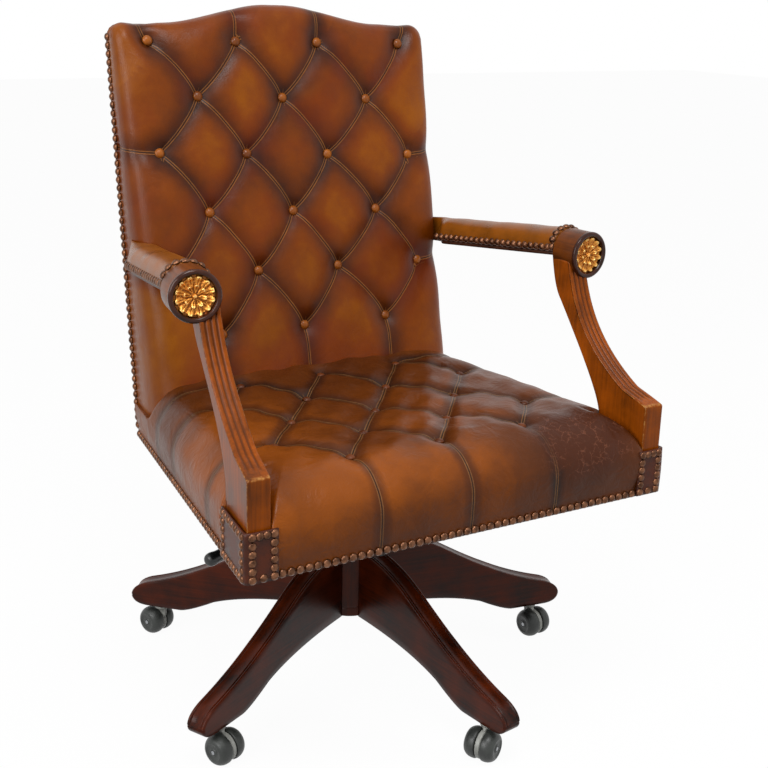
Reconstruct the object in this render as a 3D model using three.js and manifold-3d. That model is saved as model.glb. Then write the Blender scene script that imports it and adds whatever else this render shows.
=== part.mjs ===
// Swivel office chair: a deep-buttoned leather seat and back, scrolled wooden arms with leather
// pads, and a five-legged wooden base on twin-wheel casters, with a gas lift and a tilt mechanism.
// Millimetres, +Z up. The sitter faces -Y, and +X is on the right in a front view.
// The frame's origin is the middle of the part's footprint on the floor.

import * as THREE from 'three';
import { mergeVertices } from 'three/addons/utils/BufferGeometryUtils.js';
import Module from 'manifold-3d';

const wasm = await Module();
wasm.setup();

// ---------------------------------------------------------------- driving dimensions

const gap = 0.3;                  // clearance between two pieces that touch
const columnX = -14;              // place of the swivel column in the frame
const columnY = 16;

// casters
const legCount = 5;
const wheelRadius = 22;
const wheelWidth = 18;
const hoodWidth = 8;
const hoodRadius = 20;
const axleRadius = 3;
const casterTrail = 13;
const collarRadius = 11;
const collarHeight = 5.7;
const collarClearance = 1;
const stemRadius = 5.5;
const stemLength = 24;
const casterHeadings = [20, 112, 290, 208, 275];   // degrees, which way each caster trails at rest

// legs and hub
const baseTurn = 62.7;            // degrees from +X to the first leg
const legReach = 358;
const legWidth = 30;
const legEdge = 2.5;
const stemInset = 46;             // caster stem in from the leg's tip
const casterPad = 84;             // level underside, in from the tip
const hubRadius = 44;
const hubBottom = 98;
const hubTop = 213;
const hubFloor = 5;
const capRadius = 16;
const capDrop = 14;
const capStudRadius = 5.5;

// gas lift
const liftOuterRadius = 25;
const liftWall = 1.8;
const liftGuideLength = 50;
const liftFloor = 4;
const columnRadius = 14;
const columnStart = 12;           // column end above the tube's floor when the seat is lowest
const rodRadius = 5;
const socketDepth = 38;

// tilt mechanism
const housingHalfWidth = 45;
const housingFront = 105;
const housingRear = 30;
const housingHeight = 48;
const housingWall = 3;
const housingAboveTube = 18;
const plateAboveHousing = 20.7;   // room for the seat to rock
const bossRadius = 20;
const bossCap = 4;
const pinRadius = 5;
const pinForward = 38;            // tilt pivot in front of the column
const pinHeight = 38;             // tilt pivot above the housing's underside
const plateThickness = 4;
const plateHalfWidth = 75;
const plateHalfLength = 110;
const earOffset = 3;
const earThickness = 4;
const earHalfLength = 15;
const boltForward = 78;
const boltRadius = 5;
const boltHeadRadius = 9;
const boltHeadHeight = 4;
const boltSwing = 16;             // room for the bolt to swing forward as the seat tilts
const springRadius = 11.5;
const springWire = 2.2;
const springTurns = 4;
const springLength = 24;
const knobRadius = 22;
const knobHeight = 22;
const knobLobes = 8;
const knobFloor = 6;              // solid end of the knob under its bolt

// height lever
const leverRadius = 4.5;
const leverBallRadius = 6.6;
const leverPivotY = -22;
const leverPivotAbove = 22;       // above the housing's underside
const leverEndX = -262;
const leverEndY = -106;
const leverDrop = 8;
const leverKnobRadius = 9.5;
const leverKnobLength = 36;
const leverKnobBore = 18;

// seat
const seatBottom = 340;
const seatFrontHalf = 316;
const seatRearHalf = 250;
const seatFront = 315.6;
const seatRear = 226;
const seatCorner = 8;
const seatShoulder = 68;          // height of the upright side above the seat's bottom
const seatCrown = 114;            // height of the crown above the seat's bottom
const trimWidth = 11;
const trimThickness = 2.2;
const seatPitch = 132.5;           // buttons across; a row is set half a pitch from the next
const seatRow = 83;
const seatRows = 5;
const seatFirstRow = -232;
const seatTufts = { button: 26, fold: 13, slope: 7, crown: 1.5 };   // depths under the plain padding
const frameInset = 12;
const frameRail = 33;
const frameHeight = 55;
const frameRear = 200;
const crossRailX = 60;
const crossRailWidth = 30;
const webbingThickness = 3;
const webbingStrap = 52;
const webbingHole = 34;
const dustCoverThickness = 1.4;
const dustCoverInset = 8;

// back
const backHalfTop = 252;
const backHalfLess = 2;            // the back's foot is this much narrower each side than the seat
const backShoulder = 944;
const backPeak = 970;
const backCorner = 20;
const backRearLow = 226;          // rear face at the reference height
const backRearLean = 0.108;       // rear face, run per rise
const backFrontLow = 132;         // padded front face at the reference height
const backFrontLean = 0.232;
const backReference = 510;
const backPitch = 134.6;
const backRow = 82.6;
const backRows = 6;
const backFirstRow = 510;
const backTufts = { button: 17, fold: 9, slope: 4.5, crown: 1.5 };
const backCoverThickness = 3;
const backFrameInset = 14;
const backFrameRail = 42;
const backFrameThickness = 24;
const backUnderlay = 8;           // seat padding left under the back, over the webbing

// arms
const drumRadius = 33;
const drumDepth = 43;
const drumHeight = 647;
const drumFront = 148;
const drumRim = 5;
const drumRecess = 4;
const rosetteHeight = 7;
const rosettePetals = 10;
const postWidth = 30;
const postInset = 4;              // outer face inside the line of the seat's side
const postFootFront = 312.8;
const postFootRear = 227;
const postBlockTop = 468;
const postFootBottom = 344;
const padHalfWidth = 29;
const padHeight = 33;
const padSlope = 0.1;             // the arm rises towards the front
const padLength = 323;
const padTaper = 98;              // the pad's outer side runs in to the back over this length
const padTaperEnd = 1.6;
const railHalfWidth = 22;
const railHeight = 14;
const armTrimWidth = 10.5;
const armTrimThickness = 1.5;
const patchTop = 406;
const patchFrontWidth = 42;

// ---------------------------------------------------------------- values worked out from them

const backHalfLow = seatRearHalf - backHalfLess;
const splay = Math.atan2(seatFrontHalf - seatRearHalf, seatFront + seatRear);
const collarBottom = 2 * wheelRadius + collarClearance;
const legPad = collarBottom + collarHeight + gap;
const stemReach = legReach - stemInset;
const padStart = legReach - casterPad;
const tubeBottom = hubBottom + hubFloor + gap;
const columnBottom = tubeBottom + liftFloor + columnStart;
const plateTop = seatBottom - gap - dustCoverThickness - gap;
const plateBottom = plateTop - plateThickness;
const housingBottom = plateBottom - plateAboveHousing - housingHeight;
const tubeTop = housingBottom - housingAboveTube;
const columnTop = housingBottom + socketDepth;
const pinZ = housingBottom + pinHeight;
const springTop = housingBottom - gap;
const knobTop = springTop - springLength - gap;
const leverPivotZ = housingBottom + leverPivotAbove;
const trimTop = seatBottom + trimWidth;
const webbingTop = seatBottom + frameHeight + gap + webbingThickness;
const tubeSides = 20;
const wheelSides = 16;
const boreSides = 12;
const hubSides = 30;

// ---------------------------------------------------------------- solids and cuts

function toSolid(geometry) {
  const bare = geometry.clone();
  for (const name of Object.keys(bare.attributes)) {
    if (name !== 'position') bare.deleteAttribute(name);
  }
  const merged = mergeVertices(bare, 1e-4);
  return new wasm.Manifold(new wasm.Mesh({
    numProp: 3,
    vertProperties: Float32Array.from(merged.attributes.position.array),
    triVerts: Uint32Array.from(merged.index.array),
  }));
}

function toGeometry(solid) {
  const mesh = solid.getMesh();
  const geometry = new THREE.BufferGeometry();
  geometry.setAttribute('position', new THREE.BufferAttribute(Float32Array.from(mesh.vertProperties), 3));
  geometry.setIndex(new THREE.BufferAttribute(Uint32Array.from(mesh.triVerts), 1));
  return geometry;
}

function cut(body, ...tools) {
  return toGeometry(tools.reduce((rest, tool) => rest.subtract(toSolid(tool)), toSolid(body)));
}

function join(...bodies) {
  return toGeometry(bodies.map(toSolid).reduce((whole, body) => whole.add(body)));
}

function common(a, b) {
  return toGeometry(toSolid(a).intersect(toSolid(b)));
}

function mirrored(geometry) {
  const copy = toGeometry(toSolid(geometry)).applyMatrix4(new THREE.Matrix4().makeScale(-1, 1, 1));
  const order = copy.index.array;
  for (let i = 0; i < order.length; i += 3) [order[i], order[i + 1]] = [order[i + 1], order[i]];
  return copy;
}

function box(x0, x1, y0, y1, z0, z1) {
  return new THREE.BoxGeometry(x1 - x0, y1 - y0, z1 - z0)
    .translate((x0 + x1) / 2, (y0 + y1) / 2, (z0 + z1) / 2);
}

// A solid of revolution about +Z from [radius, height] points.
function turned(points, sides) {
  return new THREE.LatheGeometry(points.map(([r, z]) => new THREE.Vector2(r, z)), sides)
    .rotateX(Math.PI / 2);
}

function rod(radius, z0, z1, sides = tubeSides) {
  return turned([[0, z0], [radius, z0], [radius, z1], [0, z1]], sides);
}

// A flat outline of [x, y] points raised from z0 to z1.
function raised(outline, z0, z1, holes = []) {
  const shape = new THREE.Shape(outline.map(([x, y]) => new THREE.Vector2(x, y)));
  shape.holes = holes.map((hole) => new THREE.Path(hole.map(([x, y]) => new THREE.Vector2(x, y))));
  return new THREE.ExtrudeGeometry(shape, { depth: z1 - z0, bevelEnabled: false }).translate(0, 0, z0);
}

// A closed skin over a stack of rings with equal numbers of points, with a fan on each end.
function lofted(rings) {
  const count = rings[0].length;
  const points = rings.flat();
  const faces = [];
  for (let ring = 0; ring + 1 < rings.length; ring += 1) {
    for (let i = 0; i < count; i += 1) {
      const a = ring * count + i;
      const b = ring * count + ((i + 1) % count);
      faces.push(a, b, b + count, a, b + count, a + count);
    }
  }
  for (const [ring, outward] of [[0, false], [rings.length - 1, true]]) {
    const centre = new THREE.Vector3();
    rings[ring].forEach((point) => centre.addScaledVector(point, 1 / count));
    points.push(centre);
    for (let i = 0; i < count; i += 1) {
      const a = ring * count + i;
      const b = ring * count + ((i + 1) % count);
      faces.push(...(outward ? [a, b, points.length - 1] : [b, a, points.length - 1]));
    }
  }
  const geometry = new THREE.BufferGeometry().setFromPoints(points);
  geometry.setIndex(faces);
  return geometry;
}

// ---------------------------------------------------------------- outlines

// Moves every edge of a counter-clockwise polygon inwards by a distance.
function inset(corners, distance) {
  const lines = corners.map(([x, y], i) => {
    const [nx, ny] = corners[(i + 1) % corners.length];
    const length = Math.hypot(nx - x, ny - y);
    const normal = [-(ny - y) / length, (nx - x) / length];
    return { normal, offset: normal[0] * x + normal[1] * y + distance };
  });
  return lines.map((line, i) => {
    const before = lines[(i + lines.length - 1) % lines.length];
    const det = before.normal[0] * line.normal[1] - before.normal[1] * line.normal[0];
    return [
      (before.offset * line.normal[1] - line.offset * before.normal[1]) / det,
      (line.offset * before.normal[0] - before.offset * line.normal[0]) / det,
    ];
  });
}

// Rounds each corner of a polygon with a curve that starts and ends `radius` away from it.
function rounded(corners, radius, steps = 5, straight = 6) {
  const points = [];
  corners.forEach(([x, y], i) => {
    const corner = new THREE.Vector2(x, y);
    const before = new THREE.Vector2(...corners[(i + corners.length - 1) % corners.length]);
    const after = new THREE.Vector2(...corners[(i + 1) % corners.length]);
    const start = before.clone().sub(corner).setLength(radius).add(corner);
    const end = after.clone().sub(corner).setLength(radius).add(corner);
    const next = corner.clone().sub(after).setLength(radius).add(after);
    const curve = new THREE.QuadraticBezierCurve(start, corner, end);
    curve.getPoints(steps).forEach((point) => points.push([point.x, point.y]));
    for (let k = 1; k < straight; k += 1) {
      const point = end.clone().lerp(next, k / straight);
      points.push([point.x, point.y]);
    }
  });
  return points;
}

const seatCorners = [
  [-seatFrontHalf, -seatFront],
  [seatFrontHalf, -seatFront],
  [seatRearHalf, seatRear],
  [-seatRearHalf, seatRear],
];

function seatOutline(distance, radius = seatCorner) {
  return rounded(inset(seatCorners, distance), Math.max(radius, 2));
}

// The arched top of the back: level shoulders that sweep up to a broad crown.
function backTopAt(x) {
  const along = Math.min(Math.abs(x) / backHalfTop, 1);
  const sweep = THREE.MathUtils.smoothstep(1 - along, 0.3, 0.95);
  return backShoulder + (backPeak - backShoulder) * sweep;
}

// The back's outline as [x, z] points, from the lower left round to the upper left.
function backOutline(distance, bottom) {
  const steps = 24;
  const points = [];
  const topHalf = backHalfTop - distance;
  const lowHalf = backHalfLow - distance;
  const arch = backCorner - Math.min(distance, backCorner / 2);
  for (let k = 0; k <= 6; k += 1) points.push([-lowHalf + (2 * lowHalf * k) / 6, bottom]);
  for (let k = 1; k < 8; k += 1) {
    const t = k / 8;
    points.push([lowHalf + (topHalf - lowHalf) * t, bottom + (backShoulder - distance - arch - bottom) * t]);
  }
  for (let k = 0; k <= steps; k += 1) {
    const x = topHalf * Math.cos((Math.PI * k) / steps);
    const intoCorner = Math.max(0, (Math.abs(x) - topHalf + arch) / arch);
    const fall = arch * (1 - Math.sqrt(Math.max(0, 1 - intoCorner ** 2)));
    points.push([x, backTopAt(x) - distance - fall]);
  }
  for (let k = 7; k > 0; k -= 1) {
    const t = k / 8;
    points.push([-lowHalf - (topHalf - lowHalf) * t, bottom + (backShoulder - distance - arch - bottom) * t]);
  }
  return points;
}

// ---------------------------------------------------------------- buttoned padding

const tuftColumns = 4;            // half pitches from the middle to the edge of the buttoned field
const tuftLift = 25;              // the mould leaves the padding by this much at the field's edge

// How deep a corner of the tufts' facets lies, with its place in half pitches and in rows. Buttons sit
// where both add up to an even number, folds join them, and a pleat runs out from each outer button.
function tuftDepth(across, along, rows, depths) {
  const isButton = (i, j) => (i + j) % 2 === 0 && Math.abs(i) < tuftColumns && j >= 0 && j < rows;
  const [low, high] = [[Math.floor(across), Math.floor(along)], [Math.ceil(across), Math.ceil(along)]];
  if (Math.abs(across) === tuftColumns || along === -1 || along === rows) return -tuftLift;
  if (low[0] === high[0] && low[1] === high[1]) return isButton(...low) ? depths.button : depths.crown;
  if (low[0] !== high[0] && low[1] !== high[1]) {
    const folded = (isButton(...low) && isButton(...high))
      || (isButton(low[0], high[1]) && isButton(high[0], low[1]));
    return folded ? depths.fold : depths.crown;
  }
  if (!isButton(...low) && !isButton(...high)) return depths.crown;
  const outside = along < 0 || along > rows - 1 || Math.abs(across) > tuftColumns - 1;
  return outside ? depths.fold : depths.slope;
}

// What is pressed away over buttoned padding: a slab whose underside has two facets to each quarter of
// a tuft. pointAt places a corner from its place across and along, and how deep it lies.
function tuftMould(rows, depths, pitch, row, firstRow, pointAt) {
  const [columns, lines] = [4 * tuftColumns + 1, 2 * rows + 3];
  const corner = (a, b, depth) => pointAt((a / 2 - tuftColumns) * pitch / 2, firstRow + (b / 2 - 1) * row, depth);
  const points = [];
  for (const flat of [false, true]) {
    for (let b = 0; b < lines; b += 1) {
      for (let a = 0; a < columns; a += 1) {
        const depth = tuftDepth(a / 2 - tuftColumns, b / 2 - 1, rows, depths);
        points.push(corner(a, b, flat ? -3 * tuftLift : depth));
      }
    }
  }
  const at = (a, b, level = 0) => (level * lines + b) * columns + a;
  const faces = [];
  const quad = (p, q, r, s) => faces.push(p, q, r, p, r, s);
  for (let b = 0; b + 1 < lines; b += 1) {
    for (let a = 0; a + 1 < columns; a += 1) {
      const [p, q, r, s] = [at(a, b), at(a, b + 1), at(a + 1, b + 1), at(a + 1, b)];
      if ((a + b) % 2 === 0) quad(p, q, r, s);
      else quad(q, r, s, p);
      quad(at(a, b, 1), at(a + 1, b, 1), at(a + 1, b + 1, 1), at(a, b + 1, 1));
    }
    quad(at(0, b), at(0, b, 1), at(0, b + 1, 1), at(0, b + 1));
    quad(at(columns - 1, b + 1), at(columns - 1, b + 1, 1), at(columns - 1, b, 1), at(columns - 1, b));
  }
  for (let a = 0; a + 1 < columns; a += 1) {
    quad(at(a + 1, 0), at(a + 1, 0, 1), at(a, 0, 1), at(a, 0));
    quad(at(a, lines - 1), at(a, lines - 1, 1), at(a + 1, lines - 1, 1), at(a + 1, lines - 1));
  }
  const mould = new THREE.BufferGeometry().setFromPoints(points);
  mould.setIndex(faces);
  return mould;
}

// ---------------------------------------------------------------- the back's surfaces

const backRearAt = (z) => backRearLow + (z - seatBottom) * backRearLean;
const backFrontAt = (z) => backFrontLow + (z - backReference) * backFrontLean;

// A layer of the back between two surfaces given as functions of height.
function backSlab(outline, rearAt, frontAt) {
  const ring = (at) => outline.map(([x, z]) => new THREE.Vector3(x, at(z), z));
  return lofted([ring(rearAt), ring(frontAt)]);
}

// ---------------------------------------------------------------- casters

function casterHood() {
  const band = new THREE.CylinderGeometry(hoodRadius, hoodRadius, hoodWidth, wheelSides)
    .rotateX(Math.PI / 2).rotateZ(Math.PI / 2).rotateX(Math.PI / 2).translate(casterTrail, 0, wheelRadius);
  const half = hoodWidth / 2;
  const neck = box(-collarRadius * 0.7, casterTrail, -half, half, wheelRadius, collarBottom + gap);
  const collar = rod(collarRadius, collarBottom, collarBottom + collarHeight, wheelSides);
  const stem = rod(stemRadius, collarBottom, collarBottom + collarHeight + stemLength, boreSides);
  const bore = axleAt(axleRadius + gap, hoodWidth);
  return cut(join(band, neck, collar, stem), bore);
}

// A bar on the wheels' axis, which lies along Y with the caster trailing towards +X.
function axleAt(radius, halfLength) {
  return rod(radius, -halfLength, halfLength, boreSides).rotateX(Math.PI / 2)
    .translate(casterTrail, 0, wheelRadius);
}

// One barrel-shaped half: the tread curves in towards the outer face.
function casterWheel(side) {
  const inner = hoodWidth / 2 + gap;
  const outer = inner + wheelWidth;
  const bore = axleRadius + gap;
  const profile = [
    [bore, inner],
    [wheelRadius - 1, inner],
    [wheelRadius, inner + 1],
    [wheelRadius, inner + wheelWidth * 0.3],
    [wheelRadius * 0.93, inner + wheelWidth * 0.68],
    [wheelRadius * 0.76, outer - 1],
    [wheelRadius * 0.6, outer],
    [bore, outer],
    [bore, inner],
  ];
  const wheel = turned(profile, wheelSides).rotateX(side > 0 ? -Math.PI / 2 : Math.PI / 2);
  return wheel.translate(casterTrail, 0, wheelRadius);
}

// ---------------------------------------------------------------- legs and hub

// The side outline of a leg in [radius, height]: a swept arm with a level pad for its caster.
function legShape() {
  const shape = new THREE.Shape();
  const tipHeight = 17;
  const shoulder = legPad + 40;
  const legTop = hubTop - 4;
  shape.moveTo(hubRadius / 2, hubBottom);
  shape.quadraticCurveTo(padStart - 124, hubBottom, padStart - 56, legPad + 22.5);
  shape.quadraticCurveTo(padStart - 16, legPad + 2, padStart, legPad);
  shape.lineTo(legReach - 24, legPad);
  shape.quadraticCurveTo(legReach, legPad + 1, legReach, legPad + tipHeight);
  shape.quadraticCurveTo(legReach - 1, shoulder - 9, legReach - 26, shoulder);
  const curve = [
    [62, 10], [95, 23], [130, 41],
    [157, 54], [185, 71], [210, 86],
  ].map(([back, rise]) => [legReach - back, shoulder + rise]);
  shape.bezierCurveTo(...curve[0], ...curve[1], ...curve[2]);
  shape.bezierCurveTo(...curve[3], ...curve[4], ...curve[5]);
  shape.bezierCurveTo(legReach - 232, shoulder + 98, hubRadius + 46, legTop, hubRadius / 2, legTop);
  return shape;
}

function leg(turn) {
  const plank = new THREE.ExtrudeGeometry(legShape(), {
    depth: legWidth - 2 * legEdge,
    curveSegments: 6,
    bevelEnabled: true,
    bevelSegments: 1,
    bevelSize: legEdge,
    bevelThickness: legEdge,
    bevelOffset: -legEdge,
  }).translate(0, 0, -(legWidth - 2 * legEdge) / 2).rotateX(Math.PI / 2);
  const bore = rod(stemRadius + gap, 0, legPad + stemLength + 1, boreSides).translate(stemReach, 0, 0);
  const cope = rod(hubRadius + gap, 0, 2 * hubTop, hubSides).rotateZ(-turn);
  return cut(plank, bore, cope).rotateZ(turn);
}

function hubBlock() {
  const inner = liftOuterRadius + gap;
  return turned([
    [capStudRadius + gap, hubBottom],
    [hubRadius - 3, hubBottom],
    [hubRadius, hubBottom + 3],
    [hubRadius, hubTop - 5],
    [hubRadius - 5, hubTop],
    [inner, hubTop],
    [inner, hubBottom + hubFloor],
    [capStudRadius + gap, hubBottom + hubFloor],
    [capStudRadius + gap, hubBottom],
  ], hubSides);
}

function hubCap() {
  const low = hubBottom - gap - capDrop;
  return turned([
    [0, low],
    [capRadius * 0.5, low + capDrop * 0.12],
    [capRadius * 0.85, low + capDrop * 0.42],
    [capRadius, low + capDrop * 0.8],
    [capRadius, hubBottom - gap],
    [capStudRadius, hubBottom - gap],
    [capStudRadius, hubBottom + hubFloor],
    [0, hubBottom + hubFloor],
  ], tubeSides);
}

// ---------------------------------------------------------------- gas lift

function liftCylinder() {
  const wallInner = liftOuterRadius - liftWall;
  const guide = columnRadius + gap;
  return turned([
    [rodRadius + gap, tubeBottom],
    [liftOuterRadius, tubeBottom],
    [liftOuterRadius, tubeTop],
    [guide, tubeTop],
    [guide, tubeTop - liftGuideLength],
    [wallInner, tubeTop - liftGuideLength],
    [wallInner, tubeBottom + liftFloor],
    [rodRadius + gap, tubeBottom + liftFloor],
    [rodRadius + gap, tubeBottom],
  ], tubeSides);
}

function liftRod() {
  return rod(rodRadius, tubeBottom, tubeTop - 6, boreSides);
}

function liftColumn() {
  const bore = rodRadius + gap;
  return turned([
    [bore, columnBottom],
    [columnRadius, columnBottom],
    [columnRadius, columnTop],
    [0, columnTop],
    [0, tubeTop],
    [bore, tubeTop],
    [bore, columnBottom],
  ], tubeSides);
}

// ---------------------------------------------------------------- tilt mechanism

function tiltHousing() {
  const top = housingBottom + housingHeight;
  const shell = cut(
    box(-housingHalfWidth, housingHalfWidth, -housingFront, housingRear, housingBottom, top),
    box(-housingHalfWidth + housingWall, housingHalfWidth - housingWall, -housingFront + housingWall,
      housingRear - housingWall, housingBottom + housingWall, top + 1),
  );
  const boss = rod(bossRadius, housingBottom - 4, columnTop + gap + bossCap);
  const socket = rod(columnRadius + gap, housingBottom - 5, columnTop + gap);
  const pinHole = crossRod(pinRadius + gap, housingHalfWidth + 1);
  const slotRear = -boltForward + boltRadius + gap + 1;
  const slot = box(-boltRadius - 2, boltRadius + 2, slotRear - 2 * boltRadius - boltSwing, slotRear,
    housingBottom - 1, housingBottom + housingWall + 1);
  const leverHole = rod(leverBallRadius + gap, -housingWall - 1, housingWall + 1, boreSides)
    .rotateY(Math.PI / 2).translate(-housingHalfWidth, leverPivotY, leverPivotZ);
  return cut(join(shell, boss), socket, pinHole, slot, leverHole);
}

// A bar across the mechanism on the tilt axis.
function crossRod(radius, halfLength) {
  return rod(radius, -halfLength, halfLength, boreSides).rotateY(Math.PI / 2).translate(0, -pinForward, pinZ);
}

function tiltPin() {
  return crossRod(pinRadius, housingHalfWidth + earOffset + earThickness + 2);
}

function seatPlate() {
  const plate = box(-plateHalfWidth, plateHalfWidth, -plateHalfLength, plateHalfLength,
    plateBottom, plateTop);
  const earX = housingHalfWidth + earOffset;
  const ears = [-earX - earThickness, earX].map((x) => {
    const side = box(x, x + earThickness, -pinForward - earHalfLength, -pinForward + earHalfLength,
      pinZ, plateBottom + 1);
    const eye = rod(earHalfLength, x, x + earThickness, boreSides).rotateY(Math.PI / 2)
      .translate(0, -pinForward, pinZ);
    return join(side, eye);
  });
  return cut(join(plate, ...ears), crossRod(pinRadius + gap, housingHalfWidth * 2));
}

function tensionBolt() {
  const top = plateBottom - gap;
  return join(
    rod(boltRadius, knobTop - knobHeight + knobFloor, top - 1, boreSides),
    rod(boltHeadRadius, top - boltHeadHeight, top, 6),
  ).translate(0, -boltForward, 0);
}

function tensionSpring() {
  const radius = springRadius - springWire;
  class Coil extends THREE.Curve {
    getPoint(t, target = new THREE.Vector3()) {
      const angle = t * springTurns * 2 * Math.PI;
      const rise = (springLength - 2 * springWire) * t;
      return target.set(radius * Math.cos(angle), radius * Math.sin(angle), rise - springLength + springWire);
    }
  }
  const wire = new THREE.EllipseCurve(0, 0, springWire, springWire).getPoints(6).slice(0, 6);
  return new THREE.ExtrudeGeometry(new THREE.Shape(wire), {
    steps: springTurns * 14,
    extrudePath: new Coil(),
    bevelEnabled: false,
  }).translate(0, -boltForward, springTop);
}

function tensionKnob() {
  const outline = [];
  const steps = knobLobes * 6;
  for (let k = 0; k < steps; k += 1) {
    const angle = (2 * Math.PI * k) / steps;
    const radius = knobRadius - 2.2 * (0.5 - 0.5 * Math.cos(angle * knobLobes));
    outline.push([radius * Math.cos(angle), radius * Math.sin(angle)]);
  }
  const grip = raised(outline, knobTop - knobHeight, knobTop - 5);
  const crown = turned([
    [0, knobTop - 6],
    [knobRadius * 0.8, knobTop - 6],
    [knobRadius * 0.6, knobTop],
    [0, knobTop],
  ], tubeSides);
  const bore = rod(boltRadius + gap, knobTop - knobHeight + knobFloor - gap, knobTop + 1, boreSides);
  return cut(join(grip, crown), bore).translate(0, -boltForward, 0);
}

// ---------------------------------------------------------------- height lever

const leverPivot = new THREE.Vector3(-housingHalfWidth + housingWall / 2, leverPivotY, leverPivotZ);
const leverEnd = new THREE.Vector3(leverEndX, leverEndY, leverPivotZ - leverDrop);

// Turns a shape that runs up Z so that it runs along the lever, from a point on it.
function alongLever(geometry, start) {
  const direction = leverEnd.clone().sub(leverPivot).normalize();
  const turn = new THREE.Quaternion().setFromUnitVectors(new THREE.Vector3(0, 0, 1), direction);
  return geometry.applyQuaternion(turn).translate(start.x, start.y, start.z);
}

function heightLever() {
  const length = leverEnd.distanceTo(leverPivot);
  const inside = bossRadius - housingHalfWidth + 4;
  const bar = rod(leverRadius, inside, length, 12);
  const ball = turned([
    [0, -leverBallRadius],
    [leverBallRadius * 0.7, -leverBallRadius * 0.7],
    [leverBallRadius, 0],
    [leverBallRadius * 0.7, leverBallRadius * 0.7],
    [0, leverBallRadius],
  ], boreSides);
  return alongLever(join(bar, ball), leverPivot);
}

function leverKnob() {
  const start = -leverKnobBore;
  const end = leverKnobLength - leverKnobBore;
  const grip = turned([
    [0, start],
    [leverKnobRadius * 0.75, start],
    [leverKnobRadius * 0.85, start + 6],
    [leverKnobRadius, end - 9],
    [leverKnobRadius * 0.8, end - 2.5],
    [leverKnobRadius * 0.4, end],
    [0, end],
  ], boreSides);
  const bore = rod(leverRadius + gap, start - 1, gap, 12);
  return alongLever(cut(grip, bore), leverEnd);
}

// ---------------------------------------------------------------- seat

// A block that holds one arm post, grown by a clearance and open to the outside.
function postRoom() {
  const room = postSlab(gap, sideFaceAt(-postInset - postWidth - gap), sideFaceAt(postWidth));
  return [room, mirrored(room)];
}

// The plain padding's rings from the shoulder to the crown, as distance from the side and height.
const seatRise = seatCrown - seatShoulder;
const seatCrownRings = [
  [1, seatShoulder],
  [8, seatShoulder + seatRise * 0.35],
  [20, seatShoulder + seatRise * 0.5],
  [45, seatShoulder + seatRise * 0.74],
  [90, seatShoulder + seatRise * 0.93],
  [150, seatShoulder + seatRise],
];

// Height of the plain padding over a place of the seat.
function seatTopAt(x, y) {
  const side = (seatFrontHalf - (y + seatFront) * Math.tan(splay) - Math.abs(x)) * Math.cos(splay);
  const distance = Math.min(side, y + seatFront, seatRear - y);
  const outer = seatCrownRings.findLastIndex(([d]) => d <= distance);
  if (outer < 0) return seatBottom + seatShoulder;
  if (outer === seatCrownRings.length - 1) return seatBottom + seatCrown;
  const [[d0, h0], [d1, h1]] = seatCrownRings.slice(outer, outer + 2);
  return seatBottom + h0 + ((h1 - h0) * (distance - d0)) / (d1 - d0);
}

function seatCushion() {
  const rings = [
    [trimThickness + gap, 0],
    [trimThickness + gap, trimWidth + gap],
    [0.5, trimWidth + 12],
    [-1.5, seatShoulder * 0.75],
    ...seatCrownRings,
  ].map(([distance, height]) => seatOutline(distance, seatCorner + Math.max(distance, 0) * 0.6)
    .map(([x, y]) => new THREE.Vector3(x, y, seatBottom + height)));
  const hollow = raised(inset(seatFrameCorners(), -gap), seatBottom - 1, webbingTop + gap);
  const tufts = tuftMould(seatRows, seatTufts, seatPitch, seatRow, seatFirstRow,
    (x, y, depth) => new THREE.Vector3(x, y, seatTopAt(x, y) - depth));
  return cut(lofted(rings), tufts, hollow, rearLimit(), backBody(gap), ...postRoom(), ...patchRoom());
}

// Everything behind the seat frame's rear rail, which belongs to the back.
function rearLimit() {
  return box(-2 * seatFrontHalf, 2 * seatFrontHalf, frameRear, 2 * seatRear, seatBottom - 1, backPeak);
}

function seatFrameCorners() {
  const [frontLeft, frontRight, rearRight, rearLeft] = inset(seatCorners, frameInset);
  const slope = (seatFrontHalf - seatRearHalf) / (seatFront + seatRear);
  const widen = (rearRight[1] - frameRear + gap) * slope;
  const rear = frameRear - gap;
  return [frontLeft, frontRight, [rearRight[0] + widen, rear], [rearLeft[0] - widen, rear]];
}

function seatFrame() {
  const outer = seatFrameCorners();
  const top = seatBottom + frameHeight;
  const ring = raised(outer, seatBottom, top, [inset(outer, frameRail)]);
  const rails = [-crossRailX, crossRailX].map((x) => box(x - crossRailWidth / 2, x + crossRailWidth / 2,
    -seatFront + frameInset + frameRail - 1, frameRear - frameRail + 1, seatBottom, top));
  return cut(join(ring, ...rails), ...postRoom());
}

function seatWebbing() {
  const top = webbingTop;
  const sheet = raised(inset(seatFrameCorners(), frameRail - 12), top - webbingThickness, top);
  const pitch = webbingStrap + webbingHole;
  const half = webbingHole / 2;
  const openings = [];
  for (let row = -2; row <= 1; row += 1) {
    for (let column = -2; column <= 2; column += 1) {
      const [x, y] = [column * pitch, row * pitch];
      openings.push(box(x - half, x + half, y - half, y + half, top - webbingThickness - 1, top + 1));
    }
  }
  return cut(sheet, ...openings, ...postRoom());
}

function dustCover() {
  const [frontLeft, frontRight, rearRight, rearLeft] = inset(seatCorners, dustCoverInset);
  const outline = [frontLeft, frontRight, rearRight, rearLeft];
  return raised(outline, seatBottom - gap - dustCoverThickness, seatBottom - gap);
}

function seatNailTrim() {
  return raised(seatOutline(0), seatBottom, trimTop, [seatOutline(trimThickness)]);
}

// ---------------------------------------------------------------- back

const backBottom = trimTop + gap;

// What lies under the back: the rear of the seat, up to a thin layer over its webbing.
function backUndercut(clearance) {
  return box(-2 * seatFrontHalf, 2 * seatFrontHalf, -seatFront, frameRear + gap - clearance,
    seatBottom - 10, webbingTop + backUnderlay - clearance);
}

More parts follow.
